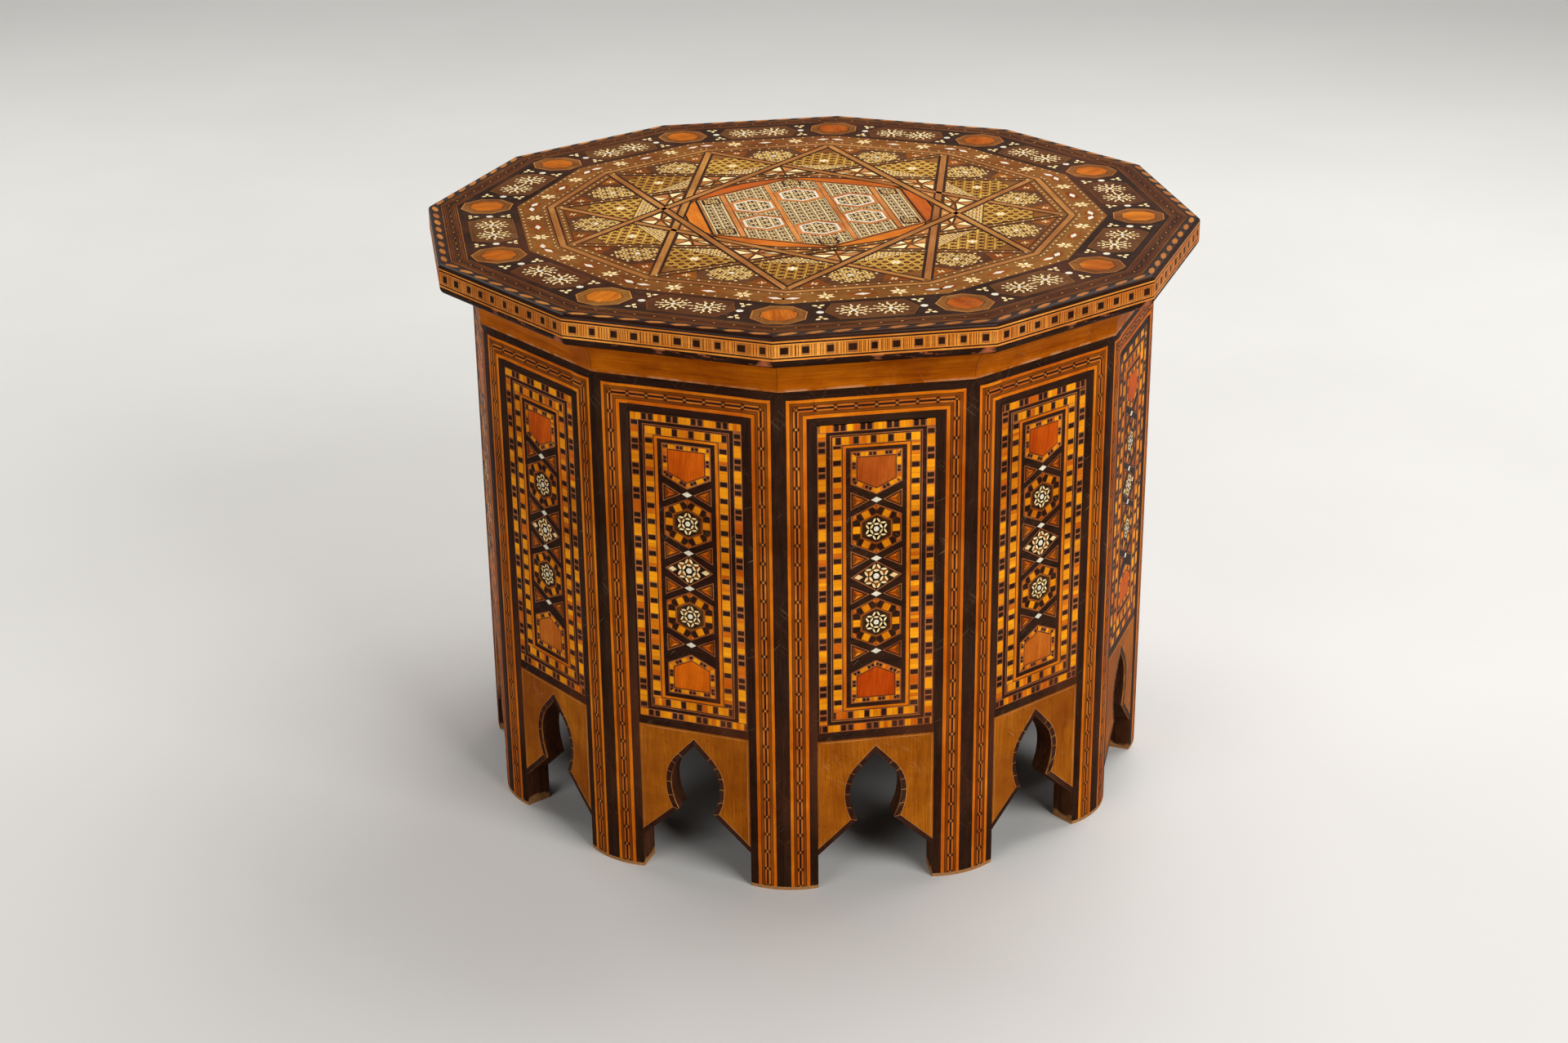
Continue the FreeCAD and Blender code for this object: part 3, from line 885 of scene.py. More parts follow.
TRIANGLE_HALF_BASE = 7.5
TRIANGLE_LENGTH = 15.0
TRIANGLE_LAYERS = (("mauve", 0.65), ("dark", 0.9))
TRIANGLE_JOINT = 0.45
TRIANGLE_WOODS = ("red", "brown", "amber")


def side_triangle():
    """A small triangle of three woods that points along +X from its base at x = 0."""
    sheet = Sheet()
    outline = [(0, -TRIANGLE_HALF_BASE), (TRIANGLE_LENGTH, 0), (0, TRIANGLE_HALF_BASE)]
    core = sheet.nest(outline, TRIANGLE_LAYERS, level=2)
    sheet.add(core, "brown", 0, 4)
    for k, wood_name in enumerate(TRIANGLE_WOODS):
        third = [middle(core), core[k], core[(k + 1) % 3]]
        sheet.add(inset(third, TRIANGLE_JOINT), wood_name, 40 * k, 5)
    return sheet


CROSSING_DROPS = (90.3, 138.8, 168.6, 217.2)
CROSSING_PEARL = (8.4, 4.6)
HEXAGON_DROPS = (114.4, 192.6)
RHOMBUS_DROP = 153.7
UPPER_BOARDS = ("red", "red", "copper")
LOWER_BOARDS = ("red", "copper")


def panel_sheet(seed):
    """The marquetry of one side panel, across from its middle and up from the floor."""
    draw = random.Random(seed)
    sheet = Sheet()
    sheet.add(block(-HALF_PANEL, HALF_PANEL, SPANDREL_TOP, BODY_TOP), "dark", 0, 0)
    for wood_name, low, high, level in BAND_ROWS:
        sheet.add(rectangle(HALF_PANEL, low, high), wood_name, 0, level)
    sheet.put(chain(2 * HALF_PANEL), 0, (-HALF_PANEL, BAND_TOP - CHAIN_MIDDLE))

    sheet.put(checker_frame(OUTER_CHECKER, DARK_FRAME, PAIRED, draw))
    line_frame(sheet, THIN_LINE, narrower(*THIN_LINE, THIN_LINE_WIDTH), "mauve")
    sheet.put(checker_frame(INNER_CHECKER, STRIP_LINE, SINGLE, draw))
    line_frame(sheet, narrower(*STRIP_LINE, STRIP_LINE_GAP), STRIP_FRAME, "orange")

    sheet.put(house(draw.choice(UPPER_BOARDS), draw), 0, (0, BAND_TOP - STRIP[1]))
    sheet.put(house(draw.choice(LOWER_BOARDS), draw), 180, (0, BAND_TOP - STRIP[2]))
    for drop in CROSSING_DROPS:
        sheet.add(lozenge(*CROSSING_PEARL, 0, (0, BAND_TOP - drop)), "pearl", 30, 3)
        for side, turn in ((-1, 0), (1, 180)):
            sheet.put(side_triangle(), turn, (side * STRIP[0], BAND_TOP - drop))
    for drop in HEXAGON_DROPS:
        sheet.put(checker_hexagon(), 0, (0, BAND_TOP - drop))
    sheet.put(rhombus(), 0, (0, BAND_TOP - RHOMBUS_DROP))
    return sheet


# The arch under each panel: a slanted foot, a neck, two arcs past the widest point and a straight keel

ARCH_APEX = 125.0
ARCH_SPRING = 83.0
ARCH_HALF_WIDTH = 25.5
ARCH_KEEL_DROP = 15.0
ARCH_KEEL_HALF_WIDTH = 14.0
ARCH_NECK = 60.0
ARCH_NECK_HALF_WIDTH = 20.5
ARCH_SHOULDER = 36.0
ARCH_EDGING = 4.5
ARCH_JOINT = 0.05
ARCH_LINE = 0.5
STRAIGHT_PIECES = 3
NECK_PIECES = 6
KEEL_PIECES = 9


def straight(spot, way, end, offset):
    """A straight of the arch through a spot, and the arc from there to the widest point, both moved in by
    the offset: the straight's end at that half width, where the two meet, and the arc's centre and radius."""
    narrowing = ARCH_HALF_WIDTH - spot.x
    radius = (narrowing ** 2 + (spot.y - ARCH_SPRING) ** 2) / (2 * narrowing)
    centre = Vector((ARCH_HALF_WIDTH - radius, ARCH_SPRING))
    radius -= offset
    spot = spot + Vector((way.y, -way.x)) * offset
    along = (spot - centre).dot(way)
    root = math.sqrt(along ** 2 - (spot - centre).length_squared + radius ** 2)
    meeting = spot + way * (math.copysign(root, along) - along)
    return spot + way * ((end - spot.x) / way.x), meeting, centre, radius


def arc_spots(centre, radius, start, end, count):
    first, last = (math.atan2(spot.y - centre.y, spot.x - centre.x) for spot in (start, end))
    angles = [first + (last - first) * k / count for k in range(count)]
    return [centre + Vector((math.cos(angle), math.sin(angle))) * radius for angle in angles]


def arch_spots(offset):
    """Spots up the right half of the arch, from its foot to its apex, moved in by the offset."""
    neck = Vector((ARCH_NECK_HALF_WIDTH, ARCH_NECK))
    slant = Vector((HALF_PANEL - neck.x, ARCH_SHOULDER - neck.y)).normalized()
    foot, neck, *low_arc = straight(neck, slant, HALF_PANEL, offset)
    keel = Vector((ARCH_KEEL_HALF_WIDTH, ARCH_APEX - ARCH_KEEL_DROP))
    fall = Vector((ARCH_KEEL_HALF_WIDTH, -ARCH_KEEL_DROP)).normalized()
    apex, keel, *high_arc = straight(keel, fall, 0.0, offset)
    widest = Vector((ARCH_HALF_WIDTH - offset, ARCH_SPRING))
    spots = [foot.lerp(neck, k / STRAIGHT_PIECES) for k in range(STRAIGHT_PIECES)]
    spots += arc_spots(*low_arc, neck, widest, NECK_PIECES)
    spots += arc_spots(*high_arc, widest, keel, KEEL_PIECES)
    spots += [keel.lerp(apex, k / STRAIGHT_PIECES) for k in range(STRAIGHT_PIECES + 1)]
    return [tuple(spot) for spot in spots]


def ribbon(sheet, outer, inner, wood_name, level, joint_every=None, joint=0.0):
    """Pieces between two rows of spots. Every so many pieces, a joint is left open."""
    total = len(outer) - 1
    for k in range(total):
        a, b, c, d = outer[k], outer[k + 1], inner[k + 1], inner[k]
        if joint_every and (k + 1) % joint_every == 0 and k + 1 < total:
            share = 1 - joint / math.dist(a, b)
            b = tuple(p + (q - p) * share for p, q in zip(a, b))
            c = tuple(p + (q - p) * share for p, q in zip(d, c))
        turn = math.degrees(math.atan2(b[1] - a[1], b[0] - a[0]))
        sheet.add([a, b, c, d], wood_name, turn, level)


EDGING_PIECE = 3
EDGING_GAP = 0.45
STRINGING = 0.7
STRINGING_GAP = 1.3


def arch_sheet():
    """The dark edging of an arch, in short pieces, and the pale stringing of the spandrel round it."""
    half = Sheet()
    inner = arch_spots(ARCH_EDGING)
    ribbon(half, arch_spots(ARCH_JOINT), inner, "tan", 0)
    ribbon(half, arch_spots(ARCH_JOINT + ARCH_LINE), inner, "rosewood", 1, EDGING_PIECE, EDGING_GAP)
    foot = arch_spots(0)[0][1] + STRINGING_GAP
    edge = HALF_PANEL - STRINGING_GAP
    top = SPANDREL_TOP - STRINGING_GAP
    half.add(block(edge - STRINGING, edge, foot, top), "tan", 90, 1)
    half.add(block(0, edge, top - STRINGING, top), "tan", 0, 1)
    return half.mirrored()


# The edge of the top. Runs start at the border and go out over the face and down.

EDGE_ROWS = (("gloss", 0.0, 11.0), ("apricot", 11.0, 12.2), ("dark", 12.2, 13.4), ("apricot", 13.4, 23.7),
             ("dark", 23.7, 24.8), ("apricot", 24.8, 26.1), ("worn", 26.1, EDGE_RUN))
EDGE_STEP = 0.55
ROPE_COUNT = 8
ROPE_RUN = 4.0
ROPE_STRAND = (16.8, 4.8)
ROPE_SLANT = 9
ROPE_WANDER = 0.6
SQUARES = 10
SQUARE_WIDTH = (4.4, 6.4)
SQUARE_WANDER = 0.9
SQUARE_RUNS = (16.0, 21.2)
SQUARE_FRAME = (0.7, 1.6)
BARS = (-0.42, -0.30, 0.29, 0.36, 0.46)
BAR_WANDER = 0.03
BAR_HALF = 0.3
BAR_OVER = 1.8


def edge_sheet(seed):
    """Rows along one side of the top's edge, with a rope on its upper edge and squares on its face."""
    draw = random.Random(seed)
    sheet = Sheet()
    half = TOP_APOTHEM * SPREAD

    def upright(spot, half_width, over, wood_name, level):
        low, high = -SQUARE_RUNS[1] - over, -SQUARE_RUNS[0] + over
        sheet.add(block(spot - half_width, spot + half_width, low, high), wood_name, 90, level)

    for wood_name, low, high in EDGE_ROWS:
        sheet.add(block(-half, half, -high, -low), wood_name, 0, 1)
    length = 2 * (BORDER_APOTHEM + ROPE_RUN) * SPREAD
    for k in range(ROPE_COUNT):
        along = length * ((k + 0.5) / ROPE_COUNT - 0.5) + draw.uniform(-ROPE_WANDER, ROPE_WANDER)
        sheet.add(leaf(*ROPE_STRAND, ROPE_SLANT, (along, -ROPE_RUN)), "tan", ROPE_SLANT, 2)
    pitch = 2 * half / SQUARES
    for k in range(SQUARES):
        spot = -half + (k + 0.5) * pitch + draw.uniform(-SQUARE_WANDER, SQUARE_WANDER)
        wide = draw.uniform(*SQUARE_WIDTH) / 2
        upright(spot, wide + SQUARE_FRAME[0], SQUARE_FRAME[1], "tan", 2)
        upright(spot, wide, 0.0, "dark", 3)
        for share in BARS:
            bar = spot + (share + draw.uniform(-BAR_WANDER, BAR_WANDER)) * pitch
            upright(bar, BAR_HALF, BAR_OVER, "brown", 2)
    return sheet


# The face of the top. Flat places are out from the centre and along, turned to each side or corner.

def ring_rows(rows, start=0.0):
    """One side's part of rings, mitred at the corners. Each row is a wood, two apothems past the start and
    a level."""
    sheet = Sheet()
    for wood_name, low, high, level in rows:
        ends = [(apothem, apothem * SPREAD) for apothem in (start + low, start + high)]
        sheet.add([(x, -y) for x, y in ends] + ends[::-1], wood_name, 90, level)
    return sheet


BORDER_ROWS = (
    ("dark", 0.0, BORDER_APOTHEM - FIELD_APOTHEM, 0), ("dark", 0.0, 4.4, 1), ("umber", 4.4, 5.2, 1),
    ("rosewood", 5.4, 16.8, 1), ("umber", 17.0, 17.9, 1), ("dark", 18.2, 19.0, 1), ("brown", 6.4, 6.9, 2),
    ("brown", 8.0, 8.3, 2), ("brown", 13.9, 14.2, 2), ("brown", 15.3, 15.8, 2))
BORDER_CHAIN = 11.1


def border_sheet():
    """The banding round the face of the top, on one side."""
    sheet = ring_rows(BORDER_ROWS, FIELD_APOTHEM)
    out = FIELD_APOTHEM + BORDER_CHAIN
    sheet.put(chain(2 * out * SPREAD, "walnut"), 90, (out, -out * SPREAD))
    return sheet


TILE_GAP = 0.25
SMALLEST_TILE = 0.5
CREAM = ("bone", "dark", "lemon", "lemon")
PALE = ("bone", "dark", "bone", "lemon")
YELLOW = ("lemon", "dark", "brown", "lemon")
WHITE = ("bone", "dark", "bone", "bone")
LIGHT = ("bone", "tan", "bone", "lemon")


def mosaic(sheet, cell, side, woods, turn=0.0, level=3, gap=TILE_GAP):
    """Fills a convex cell with six-pointed stars of small triangles. woods are those of a star's points,
    of the triangles round its heart, by turns, and of the lozenges between the stars."""
    cell = facing(cell)
    centre = middle(cell)
    span = max(math.dist(centre, corner) for corner in cell)
    points, first, second, between = woods
    tip_reach = side * math.sqrt(3)
    rise = side * 3 * sin(60)
    rows = int(span / rise) + 1
    for row in range(-rows, rows + 1):
        for column in range(-rows - 1, rows + 2):
            flat = ((column + (row % 2) / 2) * 3 * side, row * rise)
            spot = turned([flat], turn, centre)[0]
            if math.dist(spot, centre) > span + 2 * side:
                continue
            for k in range(6):
                way = turn + 60 * k
                near, far = polar(side, way, spot), polar(side, way + 60, spot)
                tip = polar(tip_reach, way + 30, spot)
                tiles = [([spot, near, far], second if k % 2 else first), ([near, tip, far], points)]
                if k < 3:
                    diamond = [near, polar(tip_reach, way - 30, spot), polar(2 * side, way, spot), tip]
                    tiles.append((diamond, between))
                for outline, wood_name in tiles:
                    tile = clipped(inset(outline, gap), cell)
                    if len(tile) > 2 and area(tile) > SMALLEST_TILE:
                        sheet.add(tile, wood_name, way, level)


# A flower's petals, as shares of its size
FLOWER_PETAL = 0.46
FLOWER_OUT = 0.27


def flower(size, petals=6, wood_name="bone", fullness=0.22):
    """Slim petals round a centre."""
    sheet = Sheet()
    for k in range(petals):
        way = 360 / petals * k
        petal = lozenge(size * FLOWER_PETAL, size * fullness, way, polar(size * FLOWER_OUT, way))
        sheet.add(petal, wood_name, way, 4)
    return sheet


# Rings of petals: how many, how far out, their length and width, and how they lean by turns
BURST_RINGS = ((6, 4.9, 4.8, 2.5, 0), (12, 8.9, 4.8, 2.1, 36), (12, 12.6, 3.2, 1.9, 14))
BURST_PEARL = 2.2


def burst():
    """Rings of bone petals that spread from a pearl."""
    sheet = Sheet()
    sheet.dot((0.0, 0.0), BURST_PEARL, 5, "pearl", 8)
    for count, radius, length, width, lean in BURST_RINGS:
        for k in range(count):
            way = 360 / count * (k + 0.5)
            turn = way + (lean if k % 2 else -lean)
            sheet.add(leaf(length, width, turn, polar(radius, way)), "bone", turn, 4)
    return sheet


# Rings of the star field, as apothems: a band of cartouches and medallions, a frieze and two strips
CARTOUCHE_MIDDLE = FIELD_APOTHEM - 20.5
CARTOUCHE = (18.5, 27.5, 36.0)
CARTOUCHE_LAYERS = (("umber", 0.6), ("chestnut", 1.2))
CARTOUCHE_BURST = 13.9
CROSS_SPOT = 39.4
CROSS_PEARL = 3.1
TREFOIL_SIZE = 11.5
TREFOIL_OFFSET = 14.2
TREFOIL_LEAN = 1.6
FRIEZE = (FIELD_APOTHEM - 69.4, FIELD_APOTHEM - 45.2)
FRIEZE_MIDDLE = sum(FRIEZE) / 2
FRIEZE_OVAL = (5.2, 12.0)
FRIEZE_PEARL = (13.0, 5.0)
FRIEZE_FLOWER = 15.0
FRIEZE_FLOWER_SPOT = 28.0
FRIEZE_DOT = 0.9
FRIEZE_DOT_PITCH = 9.2
FRIEZE_DOT_ROWS = (FRIEZE[0] + 2.6, FRIEZE[1] - 2.2)
FIELD_START = ROUNDEL_RADIUS * 0.98
STAR_EDGE = 199.8
FIELD_ROWS = (
    ("dark", FIELD_START, FIELD_APOTHEM, 0), ("umber", FIELD_START, STAR_EDGE, 1), ("umber", *FRIEZE, 1),
    ("dark", STAR_EDGE, 200.8, 5), ("umber", 200.8, 206.0, 5), ("dark", 206.0, 207.6, 5),
    ("oak", 207.6, 212.6, 5), ("dark", 212.6, FRIEZE[0], 5))
STRIP_DOTS = 203.4
STRIP_DOT_SHARE = 0.93


def cartouche():
    """A long hexagon with two rosettes, on the band's middle line along Y, and what lies at its points."""
    sheet = Sheet()
    sheet.nest(long_hexagon(*CARTOUCHE), CARTOUCHE_LAYERS, 90, 2)
    for side in (-1, 1):
        sheet.put(burst(), 15 * side, (0, side * CARTOUCHE_BURST))
        sheet.dot((0, side * CROSS_SPOT), CROSS_PEARL, 3, "pearl")
        for way in (-1, 1):
            spot = (way * TREFOIL_OFFSET, side * (CROSS_SPOT + way * TREFOIL_LEAN))
            sheet.put(flower(TREFOIL_SIZE, 3, fullness=0.30), 90 + way * 90, spot)
    return sheet


def side_of_field():
    """The rings of the star field along one side."""
    sheet = ring_rows(FIELD_ROWS)
    sheet.put(cartouche(), 0, (CARTOUCHE_MIDDLE, 0))
    oval = [(FRIEZE_MIDDLE + FRIEZE_OVAL[0] * x, FRIEZE_OVAL[1] * y) for x, y in regular(14, 1.0)]
    sheet.add(oval, "brown", 90, 2)
    sheet.add(lozenge(*FRIEZE_PEARL, 90, (FRIEZE_MIDDLE, 0.0)), "pearl", 0, 4)
    for side in (-1, 1):
        sheet.put(flower(FRIEZE_FLOWER), 0, (FRIEZE_MIDDLE, side * FRIEZE_FLOWER_SPOT))
    count = int(FRIEZE[0] * SPREAD / FRIEZE_DOT_PITCH)
    for k in range(-count, count + 1):
        along = k * FRIEZE_DOT_PITCH
        for out in FRIEZE_DOT_ROWS:
            sheet.dot((out, along), FRIEZE_DOT, 2)
        sheet.dot((STRIP_DOTS, along * STRIP_DOT_SHARE), FRIEZE_DOT, 6)
    return sheet


MEDALLION_SPOT = 271.8
MEDALLION_RADIUS = 22.4
MEDALLION_CORE = 14.6
MEDALLION_LINES = 1.4
MEDALLION_RING = (MEDALLION_RADIUS - MEDALLION_CORE) * cos(22.5) - MEDALLION_LINES
MEDALLION_LAYERS = (("tan", 0.8), ("umber", MEDALLION_RING), ("walnut", 0.8))
MEDALLION_GRAIN = 12
BEND_OUT = FRIEZE_MIDDLE / cos(HALF_STEP) + 0.6
BEND_SPOT = 7.0
BEND_LEAF = (18.0, 11.5)
BEND_PEARL = (12.5, 5.0)


def corner_of_field():
    """What sits at a corner of the star field: a medallion, and a bent lozenge in the frieze."""
    sheet = Sheet()
    outline = regular(8, MEDALLION_RADIUS, 22.5, (MEDALLION_SPOT, 0.0))
    sheet.add(sheet.nest(outline, MEDALLION_LAYERS, level=2), "honey", MEDALLION_GRAIN, 5)
    for side in (-1, 1):
        way = side * (90 + HALF_STEP)
        spot = polar(BEND_SPOT, way, (BEND_OUT, 0))
        sheet.add(leaf(*BEND_LEAF, way, spot), "brown", way, 2)
        sheet.add(lozenge(*BEND_PEARL, way, spot), "pearl", way, 4)
    return sheet


CHORD_OFFSET = 105.5
CHORD_WIDTH = 5.0
CHORD_EDGE = 1.9
CHORD_HALF = CHORD_WIDTH / 2 + CHORD_EDGE
CHORD_END = CHORD_OFFSET * math.tan(math.radians(2 * STEP)) - 2.0
CHORD_DOT = 1.0
CHORD_DOT_PITCH = 9.0
DOTTED_CHORDS = (0, 5, 6, 11)
DOTTED_EDGE = 0.6
STAR_TILE = 3.4
YELLOW_TILE = 2.8
YELLOW_GAP = 0.2
YELLOW_FLOWER = 11.0
YELLOW_PEARL = 1.9
SMALL_DOT = 1.1
POINT_EDGE = 0.6
POINT_TIP = 25.5
POINT_LINE = 0.5
KITE_JOINT = 1.1
KITE_FLOWER = 13.0
WEDGE_BASE = 20.0
WEDGE_SHOULDER = (17.0, 27.0)
WEDGE_GAP = 1.2
WEDGE_FLOWER = 7.5
SIDE_STAR = 20.5
SIDE_STAR_DROP = 22.0
SIDE_STAR_EDGE = 0.8
SIDE_STAR_PEARL = 2.2
SIDE_STAR_DOT = 1.3


def star_cell(*corners):
    """A cell between chords, clear of them. Each corner is where two chords, that many sides apart, cross,
    and the angle of their bisector, in half steps."""
    spots = [polar(CHORD_OFFSET / cos(number * HALF_STEP), turn * HALF_STEP) for number, turn in corners]
    return inset(spots, CHORD_HALF)


def star_cells():
    """The cells between the star's chords, for one corner at angle 0 and half a step either side."""
    sheet = Sheet()
    small = star_cell((1, -1), (2, 0), (1, 1))
    sheet.add(small, "tan", 90, 2)
    sheet.dot(middle(small), SMALL_DOT, 3)

    point = star_cell((2, 0), (3, 1), (4, 0), (3, -1))
    sheet.add(point, "walnut", 90, 2)
    filled = inset(point, POINT_EDGE)
    split = CHORD_OFFSET / cos(3 * HALF_STEP) * cos(HALF_STEP)
    tip = CHORD_OFFSET / cos(4 * HALF_STEP) - POINT_TIP
    mosaic(sheet, cut(filled, (split - POINT_LINE, 0), (-1, 0)), STAR_TILE, LIGHT, 30)
    yellow = cut(cut(filled, (split + POINT_LINE, 0), (1, 0)), (tip - POINT_LINE, 0), (-1, 0))
    mosaic(sheet, yellow, YELLOW_TILE, YELLOW, gap=YELLOW_GAP)
    sheet.put(flower(YELLOW_FLOWER, fullness=0.26), 0, middle(yellow))
    sheet.dot(middle(yellow), YELLOW_PEARL, 5, "pearl", 8)
    sheet.add(cut(filled, (tip + POINT_LINE, 0), (1, 0)), "umber", 0, 3)
    return sheet


def star_side_cells():
    """The cells between the star's chords in the direction of a side at angle 0."""
    sheet = Sheet()
    kite = star_cell((1, 0), (2, 1), (3, 0), (2, -1))
    sheet.add(kite, "walnut", 90, 2)
    heart = middle(kite)
    for k, corner in enumerate(kite):
        following = kite[(k + 1) % len(kite)]
        halfway = middle([corner, following])
        for tile, wood_name in (([heart, corner, halfway], "bone"), ([heart, halfway, following], "tan")):
            sheet.add(inset(tile, KITE_JOINT), wood_name, 0, 3)
    sheet.put(flower(KITE_FLOWER, 4, "brown"), 45, heart)

    core = triangle = cut(star_cell((3, 0), (4, 1), (4, -1)), (STAR_EDGE, 0), (-1, 0))
    for side in (-1, 1):
        normal = (WEDGE_BASE - WEDGE_SHOULDER[1], -side * WEDGE_SHOULDER[0])
        core = cut(core, (STAR_EDGE, side * WEDGE_BASE), normal)
        start = (STAR_EDGE, side * (WEDGE_BASE + WEDGE_GAP))
        wedge = cut(triangle, start, (-normal[0], -normal[1]))
        sheet.add(wedge, "brown", 90, 2)
        sheet.put(flower(WEDGE_FLOWER, 4), 20, middle(wedge))
    sheet.add(core, "chestnut", 90, 2)
    heart = (STAR_EDGE - SIDE_STAR_DROP, 0.0)
    star = clipped(regular(6, SIDE_STAR, 0, heart), inset(core, SIDE_STAR_EDGE))
    sheet.add(star, "walnut", 90, 3)
    mosaic(sheet, star, STAR_TILE, CREAM, level=4)
    sheet.dot(heart, SIDE_STAR_PEARL, 5, "pearl", 8)
    for spot in regular(6, SIDE_STAR, 30, heart):
        sheet.add(clipped(regular(6, SIDE_STAR_DOT, 0, spot), core), "bone", 0, 3)
    return sheet


def chord(level, dotted):
    """One straight strip of the star, square to the X axis."""
    sheet = Sheet()
    narrow = CHORD_WIDTH / 2 - (DOTTED_EDGE if dotted else 0.0)
    for half, wood_name in ((CHORD_HALF, "dark"), (narrow, "umber" if dotted else "oak")):
        strip = block(CHORD_OFFSET - half, CHORD_OFFSET + half, -CHORD_END, CHORD_END)
        sheet.add(strip, wood_name, 90, level)
        level += 1
    if dotted:
        count = int(CHORD_END / CHORD_DOT_PITCH)
        for k in range(-count, count + 1):
            sheet.dot((CHORD_OFFSET, k * CHORD_DOT_PITCH), CHORD_DOT, level)
    return sheet


def field_sheet():
    """The whole star field, from the roundel to the border."""
    sheet, along_side, at_corner = Sheet(), side_of_field(), corner_of_field()
    along_side.put(star_side_cells())
    at_corner.put(star_cells())
    for k in range(SIDES):
        sheet.put(along_side, side_angle(k))
        sheet.put(at_corner, side_angle(k) + HALF_STEP)
        dotted = k in DOTTED_CHORDS
        sheet.put(chord(6 if dotted else 8 + k % 2, dotted), side_angle(k) + HALF_STEP)
    return sheet


ROUNDEL_EDGE = 0.8
RIM_PIECES = 14
MOSAIC_RADIUS = 100.5
MOSAIC_LAYERS = (("tan", 1.2), ("walnut", 0.6))
MOSAIC_TILE = (3.1, 0.36)
CELL_SPOT = 49.5
CELL_RADIUS = 23.66
CELL_LAYERS = (("walnut", 0.4), ("salmon", 4.2), ("pearl", 2.3), ("dark", 0.5), ("walnut", 0.0))
CELL_TILE = (3.9, 0.4)
CORNER_SPOT = 88.0
CORNER_RADIUS = 11.0
CORNER_LAYERS = (("dark", 1.2), ("walnut", 0.6))
CORNER_TILE = (2.8, 0.3)
LATTICE = (-64.5, -22.6, 22.6, 64.5)
LATTICE_HALF = 2.6
LATTICE_EDGE = 0.6


def roundel_sheet():
    """The round centre: a copper-coloured disc, and a mosaic hexagon with four strips and six pearl-edged
    cells."""
    sheet = Sheet()

    def filled(cell, tile, woods, turn, level):
        mosaic(sheet, cell, tile[0], woods, turn, level, tile[1])

    sheet.add(regular(72, ROUNDEL_RADIUS), "dark", 0, 0)
    for k in range(6):
        way = 60 * k
        turns = [way - 30 + 60 * j / RIM_PIECES for j in range(RIM_PIECES + 1)]
        sheet.add([polar(ROUNDEL_RADIUS - ROUNDEL_EDGE, turn) for turn in turns], "copper", way + 90, 1)
    inner = sheet.nest(regular(6, MOSAIC_RADIUS, 30), MOSAIC_LAYERS, level=2)
    filled(inner, MOSAIC_TILE, WHITE, 30, 4)
    for k in range(6):
        way = 30 + 60 * k
        cell = sheet.nest(regular(6, CELL_RADIUS, way, polar(CELL_SPOT, way)), CELL_LAYERS, way, 5)
        filled(cell, CELL_TILE, WHITE, way, 10)
        square = clipped(regular(4, CORNER_RADIUS, 45, polar(CORNER_SPOT, way)), inner)
        filled(sheet.nest(square, CORNER_LAYERS, way, 10), CORNER_TILE, PALE, way, 12)
    for offset in LATTICE:
        strip = block(offset - LATTICE_HALF, offset + LATTICE_HALF, -ROUNDEL_RADIUS, ROUNDEL_RADIUS)
        strip = sheet.nest(clipped(strip, inner), (("walnut", LATTICE_EDGE),), 90, 8)
        sheet.add(strip, "salmon", 90, 9)
    return sheet


# Everything on the table. Each kind of piece has seeds of its own.

PANEL_DRAW, PANEL_LAY, ARCH_LAY, POST_LAY, EDGE_DRAW, EDGE_LAY, TOP_LAY = range(100, 800, 100)


def dress_sides():
    post, arch = post_sheet(), arch_sheet()
    veneer = FACE_APOTHEM - BOARD_APOTHEM
    for k in range(SIDES):
        number, turn = f"{k + 1:02d}", side_angle(k)
        piece = lay("panel_inlay_" + number, panel_sheet(PANEL_DRAW + k), on_panel, PANEL_LAY + k, veneer)
        settle(piece, turn, ["panel_marquetry"])
        piece = lay("arch_edging_inlay_" + number, arch, on_panel, ARCH_LAY + k, veneer)
        settle(piece, turn, ["arch_edging"])
        piece = lay("post_inlay_" + number, post, on_post, POST_LAY + k, axis=0)
        settle(piece, turn + HALF_STEP)
        edge = edge_sheet(EDGE_DRAW + k)
        piece = lay("edge_inlay_" + number, edge, on_edge, EDGE_LAY + k, axis=1, step=EDGE_STEP)
        settle(piece, turn)


def dress_top():
    veneer = HEIGHT - CORE_TOP
    border = Sheet()
    for k in range(SIDES):
        border.put(border_sheet(), side_angle(k))
    piece = lay("border_inlay", border, on_top, TOP_LAY, veneer)
    settle(piece, 0, ["top_border_banding"])
    piece = lay("star_field_inlay", field_sheet(), on_top, TOP_LAY + 1, veneer)
    settle(piece, 0, ["top_star_field"])
    piece = lay("roundel_inlay", roundel_sheet(), on_top, TOP_LAY + 2, veneer)
    settle(piece, 0, ["top_roundel"])


def finish_nodes():
    """Better materials for the nodes that stay in view."""
    side, place = Shader.along_side, Shader.object_place
    batten = wood("batten_wood", (160, 116, 72), (112, 76, 44), place, (0, 1, 2), 0.0, BARE)
    chosen = {
        "corner_post": post_carcass(),
        "side_panel": wood("panel_board", (88, 54, 36), (52, 31, 22), side, GRAIN_UPRIGHT, 0.0, BARE),
        "cove_rail": cove_wood(),
        "top_edge_strip": wood("edge_core", (62, 40, 30), (38, 25, 20), side, GRAIN_ALONG),
        "top_plank": wood("core_wood", (168, 124, 78), (122, 84, 48), place, (1, 0, 2), 0.0, BARE),
        "top_battens": batten,
        "glue_blocks": batten,
        "spandrel_veneers": spandrel_wood(),
        "top_screws": screw_steel()}
    for name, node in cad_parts.items():
        for start, shader in chosen.items():
            if name.startswith(start):
                node.data.materials.clear()
                node.data.materials.append(shader.owner)


# The studio, in metres

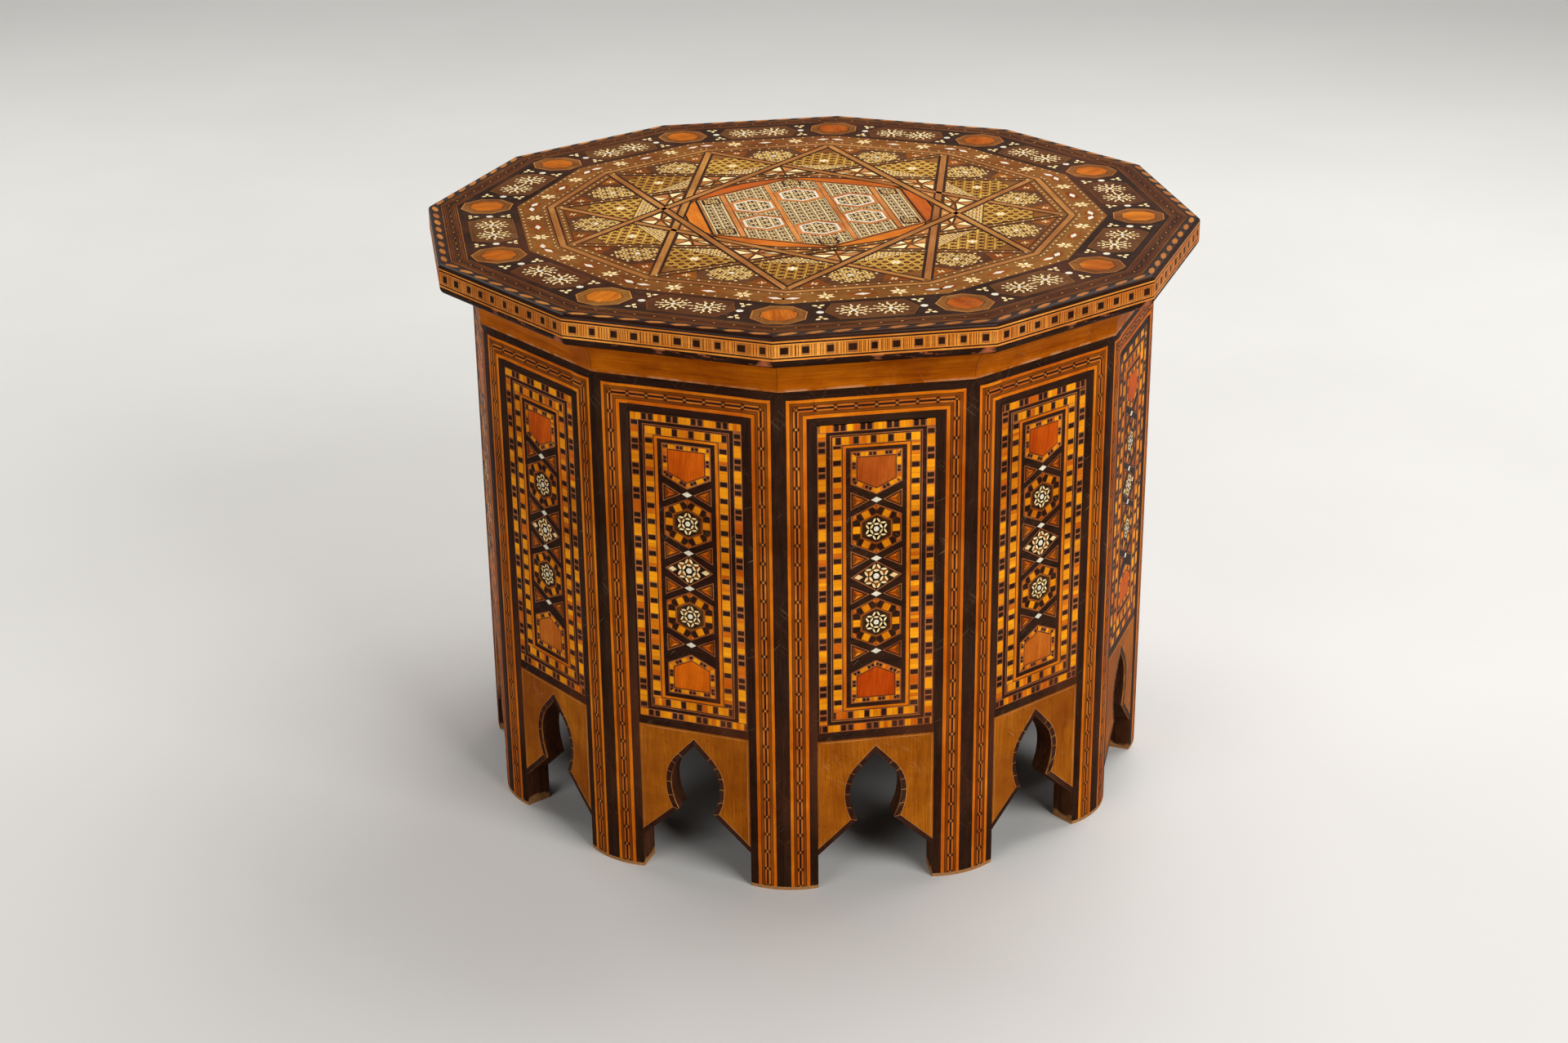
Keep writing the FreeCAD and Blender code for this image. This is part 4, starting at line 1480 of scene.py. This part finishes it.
CAMERA_AZIMUTH = -10.135
CAMERA_DISTANCE = 2.108
CAMERA_HEIGHT = 1.0945
CAMERA_YAW = -0.0115
CAMERA_PITCH = 0.4013
CAMERA_ROLL = 0.0125
CAMERA_LENS = 60.2
SENSOR_WIDTH = 36.0


def set_camera():
    turn = Matrix.Rotation(math.radians(CAMERA_AZIMUTH), 4, "Z")
    place = Matrix.Translation((0, -CAMERA_DISTANCE, CAMERA_HEIGHT))
    aim = (Matrix.Rotation(-CAMERA_YAW, 4, "Z") @ Matrix.Rotation(math.pi / 2 - CAMERA_PITCH, 4, "X")
           @ Matrix.Rotation(-CAMERA_ROLL, 4, "Z"))
    data = bpy.data.cameras.new("camera")
    data.sensor_width = SENSOR_WIDTH
    data.sensor_fit = "HORIZONTAL"
    data.lens = CAMERA_LENS
    camera = stand("camera", data)
    camera.matrix_world = turn @ place @ aim
    bpy.context.scene.camera = camera


# Lamps that face the table: their place, their size and their power in watts
TABLE_MIDDLE = Vector((0, 0, 0.3))
LAMPS = {
    "key": ((1.5, -2.6, 2.2), (1.8, 1.6), 90),
    "fill": ((-2.4, -2.2, 1.6), (1.8, 1.8), 36),
    "back": ((-1.8, 2.2, 2.0), (1.8, 1.4), 36),
    "ceiling": ((1.2, 1.0, 2.3), (2.4, 2.4), 70)}


def set_lamps():
    for name, (place, size, power) in LAMPS.items():
        data = bpy.data.lights.new(name, "AREA")
        data.shape = "RECTANGLE"
        data.size, data.size_y = size
        data.energy = power
        lamp = stand(name, data)
        lamp.location = place
        lamp.rotation_euler = (TABLE_MIDDLE - Vector(place)).to_track_quat("-Z", "Y").to_euler()


# To the eye the floor glows further off and the world is bright, but the world lights the table only a little
FLOOR_HALF = 12.0
FLOOR_COLOURS = ((206, 204, 200), (214, 212, 208))
FLOOR_GLOW_SPAN = (1.0, 6.0)
FLOOR_GLOW = 0.66
WORLD_COLOUR = (226, 224, 220)
WORLD_LIGHT = 0.07
WORLD_GLOW = 0.62


def set_studio():
    floor = Shader("floor")
    place = floor.object_place()
    speckle = floor.noise(place, (3, 3, 3), 4.0)
    colour = floor.mix(speckle, *FLOOR_COLOURS)
    away = floor.add("VectorMath", {0: place}, operation="LENGTH").outputs["Value"]
    glow = floor.times(floor.ramp(away, *FLOOR_GLOW_SPAN, 0.0, FLOOR_GLOW), floor.seen())
    floor.feed(floor.surface, {
        "Base Color": colour, "Roughness": floor.ramp(speckle, 0.3, 0.7, 0.55, 0.65),
        "Emission Color": colour, "Emission Strength": glow})
    mesh = bpy.data.meshes.new("floor")
    corners = block(-FLOOR_HALF, FLOOR_HALF, -FLOOR_HALF, FLOOR_HALF)
    mesh.from_pydata([(x, y, 0) for x, y in corners], [], [(0, 1, 2, 3)])
    mesh.materials.append(floor.owner)
    plane = stand("floor", mesh)
    plane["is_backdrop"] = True

    studio = Shader("studio", world=True)
    strength = studio.ramp(studio.seen(), 0.0, 1.0, WORLD_LIGHT, WORLD_GLOW)
    studio.feed(studio.surface, {"Color": WORLD_COLOUR, "Strength": strength})
    bpy.context.scene.world = studio.owner
    bpy.context.scene.view_settings.view_transform = "Standard"


dress_sides()
dress_top()
finish_nodes()
set_studio()
set_lamps()
set_camera()

boxes = {"cad": CAD_BOX, "visual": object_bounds()}
{name: [list(corner) for corner in box] for name, box in boxes.items()}
